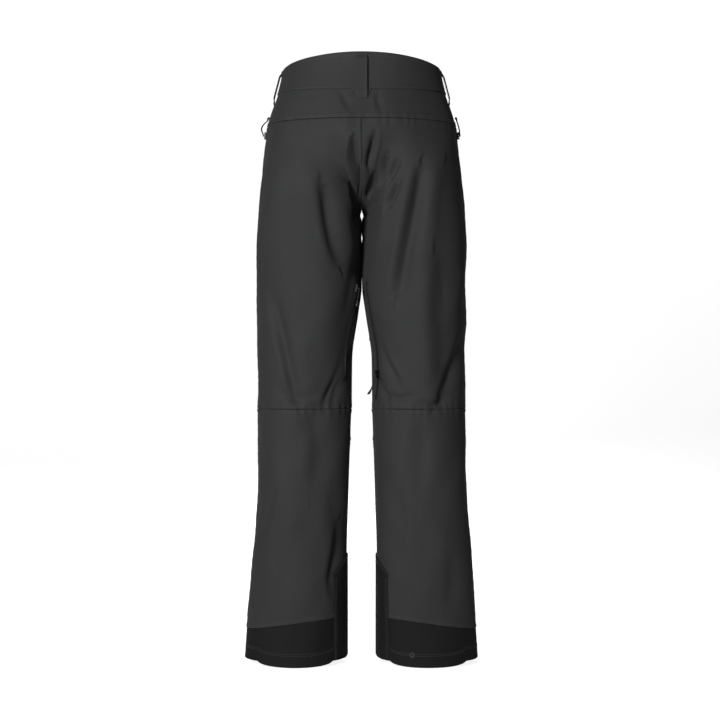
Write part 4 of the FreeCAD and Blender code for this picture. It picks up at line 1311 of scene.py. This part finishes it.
def tab_place(x, level, lift):
    """A point that stands off the front waistband."""
    x, level, lift = (np.asarray(v, float) for v in np.broadcast_arrays(x, level, lift))
    around = around_for_x(np.abs(x), level)
    left, _ = skin(1, level, around, lift)
    right, _ = skin(-1, level, around, lift)
    return np.where((x >= 0)[..., None], left, right)


def waist_tab():
    """The closure tab, with a rounded end and its stitching."""
    piece = Piece()
    middle, half = (TAB_LOW + TAB_HIGH) / 2, (TAB_HIGH - TAB_LOW) / 2
    corner = half * 0.55
    x = np.linspace(TAB_HINGE_X, TAB_END_X, 60)
    to_end = np.clip(x - TAB_END_X, 0, half)
    reach = half * np.where(to_end < corner, np.sqrt(1 - (1 - to_end / corner) ** 2) * 0.45 + 0.55, 1.0)
    reach = np.where(to_end < 0.01, half * 0.5, reach)
    share = 2 * rows_up(2 * half, 1.6)[:, None] - 1
    level, x = np.broadcast_arrays(middle + share * reach, x)
    edge = np.minimum(half * (1 - np.abs(share)), np.minimum(x - TAB_END_X, TAB_HINGE_X - x))
    outer = tab_place(x, level, TAB_FAR + 0.2 - 0.8 * bell(edge, 0.8))
    inner = tab_place(x, level, TAB_NEAR)
    piece.solid(outer, inner, flat(x, level), (0, 1))
    straight = np.linspace(TAB_HINGE_X - 2, TAB_END_X + half * 0.5, 24)
    turn = np.linspace(0, math.pi, 18)
    for inset in (2.0, 4.8):
        bow = TAB_END_X + inset + (half * 0.5 - inset) * (1 - np.sin(turn))
        xs = np.concatenate([straight, bow, straight[::-1]])
        rise = np.concatenate([np.ones(24), np.cos(turn), -np.ones(24)])
        zs = middle + (half - inset) * rise
        line = tab_place(xs, zs, TAB_FAR + 0.35)
        add_stitches(piece, line, unit(tab_place(xs, zs, TAB_FAR + 1.0) - line), 2)
    piece.build("waist_tab_cloth", CLOTHS, "waist_tab", "shell_fabric", "waist_tab")
    snaps(middle)


def snaps(level):
    """Domed snap caps on the tab and their studs on the waistband."""
    caps, studs = Piece(), Piece()
    for x in SNAP_XS:
        face = tab_place(x, level, 0.0)
        slope = unit(tab_place(x, level + 1, 0.0) - tab_place(x, level - 1, 0.0))
        out = tab_place(x, level, 1.0) - face
        out = unit(out - slope * (out @ slope))
        add_lathe(caps, face + out * TAB_FAR, out, CAP_OUTLINE)
        add_lathe(studs, face + out * 0.6, out, STUD_OUTLINE)
    caps.build("snap_cap_pair", (METAL,), "waist_tab", "metal", "snap_caps", 30)
    studs.build("snap_stud_pair", (METAL,), "pelvis", "metal", "snap_studs", 30)


RIBBON_THICK = 1.2


def hanger_loop():
    """A ribbon loop inside the back of the waistband."""
    low, high = (np.array(corner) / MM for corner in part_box("hanger_loop"))
    radius = (high[2] - low[2]) / 2
    centre = np.array([0.0, low[1] + radius, (low[2] + high[2]) / 2])
    turn = full_turn(48)
    ring = np.stack([0 * turn, np.cos(turn), np.sin(turn)], -1)
    share = np.linspace(-1, 1, 7)
    wide = (share * (high[0] - low[0]) / 2)[:, None] * np.array([1.0, 0, 0])
    rounded = 0.3 * bell(1 - np.abs(share), 0.2)
    outer = centre + ring * (radius - rounded)[:, None, None] + wide[:, None]
    inner = centre + ring * (radius - RIBBON_THICK) + wide[:, None]
    piece = Piece()
    piece.solid(outer, inner, closed=True)
    run = np.linspace(centre[1] + radius - RIBBON_THICK / 2, high[1], 8)
    tail = np.stack([0 * run, run, 0 * run + centre[2]], -1)[:, None] + wide
    piece.solid(tail + [0, 0, 1.1], tail - [0, 0, 1.1])
    piece.build("hanger_loop_ribbon", (ACCENT,), "pelvis", "lining_fabric", "hanger_loop")


# --- zips


TOOTH_PITCH = 2.9
TOOTH_RINGS = ((0.75, 1.0), (1.75, 0.86), (2.05, 0.6))
TOOTH_CORNERS = ((-0.62, -0.55), (0.62, -0.55), (0.62, 2.5), (-0.62, 2.5))
TAPE_EDGE = 1.0
ZIP_MARGIN = 10.5
FLY_ZIP_LOW, FLY_ZIP_TOP = 892, 974
BAG_FROM, BAG_TO = 1.12, 1.62


def add_teeth(piece, place, low, high, slot):
    """Two rows of moulded teeth that mesh along a zip. place(level, across, lift) gives points on it."""
    for sign, shift in ((-1, 0), (1, TOOTH_PITCH / 2)):
        middles = np.arange(low + shift, high, TOOTH_PITCH)
        corners = [
            place(middles + along * grow, sign * across * grow, lift)
            for lift, grow in TOOTH_RINGS
            for along, across in TOOTH_CORNERS
        ]
        faces = prism_faces(np.arange(len(middles) * 12).reshape(len(middles), 3, 4))
        piece.add(np.stack(corners, 1), faces[:, ::sign], slot)


def zip_piece(name, place, low, high, half, body):
    """A zip: two tapes with their welts, the teeth and the stitching beside them."""
    piece = Piece()
    levels = rows_between(low - ZIP_MARGIN, high + ZIP_MARGIN, 2.5)
    for sign in (-1, 1):
        level, across = on_grid(levels, sign * np.linspace(TAPE_EDGE, half, 9))
        edge = np.minimum(half - np.abs(across), from_edge(level))
        welt = 0.35 * bell(np.abs(across) - (half - 1.2), 0.9)
        outer = place(level, across, 1.25 + welt - 0.8 * bell(edge, 0.7))
        piece.solid(outer, place(level, across, 0.45), flat(across, level))
    add_teeth(piece, place, low - 4, high + 4, 1)
    rows = rows_between(levels[0] + 1.5, levels[-1] - 1.5, 4)
    for sign in (-1, 1):
        line, above = (place(rows, sign * (half - 2.6), lift) for lift in (1.45, 2.45))
        add_stitches(piece, line, unit(above - line), 2, 2.0, 2.9, 0.22)
    piece.build(f"{name}_zip_tape", (TAPE, PLASTIC, THREADS), body, "zip_tape", f"{name}_zip", 34)


def beside_line(side, line, low, high):
    """A function that gives points beside a zip's line, which lies between two places round the outline."""

    def place(level, across, lift):
        level, across, lift = np.broadcast_arrays(level, across, lift)
        return skin(side, level, around_at(low, high, level, line(level) + across), lift)[0]

    return place


def zips():
    """The fly's zip, and each side's hand pocket and vent zips with what lies behind them."""
    zip_piece("fly", front_place, FLY_ZIP_LOW, FLY_ZIP_TOP, 7, "pelvis")
    for side, word in SIDES:
        thigh = f"{word}_thigh"
        by_pocket = beside_line(side, pocket_line, 1.01, 1.9)
        zip_piece(f"{word}_pocket", by_pocket, POCKET_LOW, POCKET_TOP, 7, thigh)
        by_vent = beside_line(side, vent_line, 0.003, 0.48)
        zip_piece(f"{word}_vent", by_vent, VENT_LOW, VENT_TOP, 6, thigh)
        netting = Piece()
        level, across = on_grid(np.linspace(VENT_LOW - 16, VENT_TOP + 16, 50), np.linspace(-16, 16, 14))
        netting.solid(by_vent(level, across, -4.0), by_vent(level, across, -4.7), flat(across, level))
        netting.build(f"{word}_vent_netting", (NETTING,), thigh, "mesh_fabric", f"{word}_vent_mesh")
        bag = Piece()
        level, around = on_grid(np.linspace(750, 926, 60), np.linspace(BAG_FROM, BAG_TO, 46))
        edge = np.minimum(from_edge(level), np.minimum(around - BAG_FROM, BAG_TO - around) * PANEL_WIDE)
        outer, _ = surface(side, level, around, -3.8)
        inner, _ = surface(side, level, around, -4.6 - 1.6 * ramp(edge, 0, 26))
        bag.solid(outer, inner, flat(around * PANEL_WIDE, level))
        thing = bag.build(f"{word}_pocket_pouch", (LINING,), None, "lining_fabric", f"{word}_pocket_bag")
        bend_at_hip(thing, word)


def pull_frame(name):
    """The bar a pull turns on, and the pull's along, outward and across directions."""
    swing = JOINTS[f"{name}_pull_swing"]
    bar = np.array(swing["pos_m"]) / MM
    across = unit(np.array(swing["axis"], float))
    low, high = (np.array(corner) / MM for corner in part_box(f"{name}_pull"))
    along = (low + high) / 2 - bar
    along = unit(along - across * (along @ across))
    return bar, along, np.cross(across, along), across


PULL_LONG = 33
GRIP_SIDES = 16


def add_grip(piece, centre, across, out, slot):
    """A moulded grip along a line: a rounded tapering tab with ribs."""
    t = np.linspace(0, 1, len(centre))
    swell = np.sqrt(np.clip(1 - (2 * t - 1) ** 6, 0, 1))
    half_wide = (1.9 + 1.3 * ramp(t, 0.1, 0.75)) * swell
    half_thick = (1.25 + 0.9 * ramp(t, 0.3, 0.8) + 0.16 * np.cos(2 * math.pi * t * 7)) * swell
    turn = full_turn(GRIP_SIDES)
    sideways, outwards = (np.sign(v) * np.abs(v) ** 0.6 for v in (np.cos(turn), np.sin(turn)))
    ring = centre[:, None] + across * (half_wide[:, None] * sideways)[..., None]
    ring = ring + out * (half_thick[:, None] * outwards)[..., None]
    piece.add(ring, strip_faces(ring_index(len(t), GRIP_SIDES)), slot)


def pull(name, bulge, grip_from, lean=0.0):
    """A slider's pull: an eye on the bar, a cord through it and a moulded grip. bulge is how far the cord
    stands out and lean how far the free end does."""
    bar, along, out, across = pull_frame(name)

    def down(run, stand):
        """Points at distances down the pull."""
        return bar + along * run[:, None] + out * (stand + lean * (run / PULL_LONG) ** 1.5)[:, None]

    piece = Piece()
    turn = np.linspace(0, 2 * math.pi, 25)[:, None]
    add_tube(piece, bar + (along * np.cos(turn) + out * np.sin(turn)) * 1.25, 0.45, 1, across)
    bow = np.sin(np.linspace(0, math.pi, 30))
    run = np.linspace(1.2, grip_from + 2, 30)
    for sign in (-1, 1):
        line = down(run, bulge * bow) + across * (sign * (0.5 + 1.2 * bow))[:, None]
        add_tube(piece, line, 0.95, 0, out)
    add_grip(piece, down(np.linspace(grip_from, PULL_LONG, 26), 0.0), across, out, 1)
    body = f"{name}_pull"
    thing = piece.build(f"{body}_cord", (CORD, PLASTIC), body, "moulded_plastic", body, 50)
    if lean:
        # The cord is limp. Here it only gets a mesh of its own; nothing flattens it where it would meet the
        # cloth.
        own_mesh(thing)
        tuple(out)


def pulls():
    pull("fly", 0.6, 15)
    pull("left_pocket", 6.0, 24, -8.0)
    pull("right_pocket", 0.5, 24, -6.0)
    pull("left_vent", 0.5, 19)
    pull("right_vent", 0.5, 22, 20.0)


def hardware():
    """Materials and softened edges for the metal parts that keep their CAD shapes."""
    for name, node in frame["nodes"].items():
        if name.endswith("_slider") or "eyelet" in name or "hook" in name:
            node.data.materials.clear()
            node.data.materials.append(METAL)
            soften = node.modifiers.new("soft_edges", "BEVEL")
            soften.width = 0.22 * MM
            soften.segments = 2
            soften.limit_method = "ANGLE"


# --- the garment, the stage and the camera


def garment():
    for side, word in SIDES:
        for make in (back_upper, front_upper, knee_panel, lower_panels, hem_band, scuff_guard, gaiter):
            make(side, word)
    for make in (yokes, waistband, belt_loops, fly, waist_tab, hanger_loop, zips, pulls, hardware):
        make()


CAMERA_FAR = 3.3
CAMERA_HIGH = 0.5276
FIELD_WIDE = 1.26
PAPER_GLOW = 0.88
AMBIENT = 0.07
SENSOR = 36
WALL_Y = -3.9
CURVE_RADIUS = 1.2


def backdrop():
    """A pale floor that curves up into a wall in front of the garment."""
    mesh = bpy.data.meshes.new("pale_floor")
    rows = [(3.9 - 0.1 * k, 0.0) for k in range(66)]
    for turn in np.linspace(0, math.pi / 2, 16):
        rows.append((WALL_Y + CURVE_RADIUS * (1 - math.sin(turn)), CURVE_RADIUS * (1 - math.cos(turn))))
    rows += [(WALL_Y, CURVE_RADIUS + 0.4 * k) for k in range(1, 10)]
    points = [(x, y, z) for y, z in rows for x in (-6, 6)]
    faces = [(2 * i, 2 * i + 1, 2 * i + 3, 2 * i + 2) for i in range(len(rows) - 1)]
    mesh.from_pydata(points, [], faces)
    material, node, shade_with = new_material("pale_paper")
    seen = node("LightPath")["Is Camera Ray"]
    glow = node("Math", {0: seen, 1: PAPER_GLOW}, operation="MULTIPLY")[0]
    shade_with({"Base Color": (0.5, 0.5, 0.5, 1), "Roughness": 0.9})
    shade_with({"Emission Color": (1, 1, 1, 1), "Emission Strength": glow})
    mesh.materials.append(material)
    mesh.polygons.foreach_set("use_smooth", np.ones(len(faces), bool))
    thing = bpy.data.objects.new("pale_floor", mesh)
    bpy.context.scene.collection.objects.link(thing)


def lamp(name, place, target, wide, power):
    """A soft square light that looks at a point."""
    data = bpy.data.lights.new(name, "AREA")
    data.size = wide
    data.energy = power
    thing = bpy.data.objects.new(name, data)
    thing.location = place
    thing.rotation_euler = (Vector(target) - Vector(place)).to_track_quat("-Z", "Y").to_euler()
    thing.visible_camera = False
    bpy.context.scene.collection.objects.link(thing)


def studio():
    backdrop()
    scene = bpy.context.scene
    world = bpy.data.worlds.new("studio")
    world.use_nodes = True
    world.node_tree.nodes["Background"].inputs[0].default_value = (1, 1, 1, 1)
    seen = world.node_tree.nodes.new("ShaderNodeLightPath")
    share = world.node_tree.nodes.new("ShaderNodeMapRange")
    share.inputs["To Min"].default_value = AMBIENT
    world.node_tree.links.new(seen.outputs["Is Camera Ray"], share.inputs["Value"])
    world.node_tree.links.new(share.outputs[0], world.node_tree.nodes["Background"].inputs[1])
    scene.world = world
    lamp("key", (1.25, 2.9, 1.35), (0, 0, 0.55), 0.6, 78)
    lamp("front", (0.25, -3.0, 1.4), (0, 0, 0.5), 0.6, 55)
    scene.view_settings.view_transform = "Standard"
    data = bpy.data.cameras.new("camera")
    data.sensor_width = SENSOR
    data.lens = SENSOR * CAMERA_FAR / FIELD_WIDE
    camera = bpy.data.objects.new("camera", data)
    camera.location = (0.003, CAMERA_FAR, CAMERA_HIGH)
    camera.rotation_euler = (math.pi / 2, 0, math.pi)
    scene.collection.objects.link(camera)
    scene.camera = camera


garment()
studio()
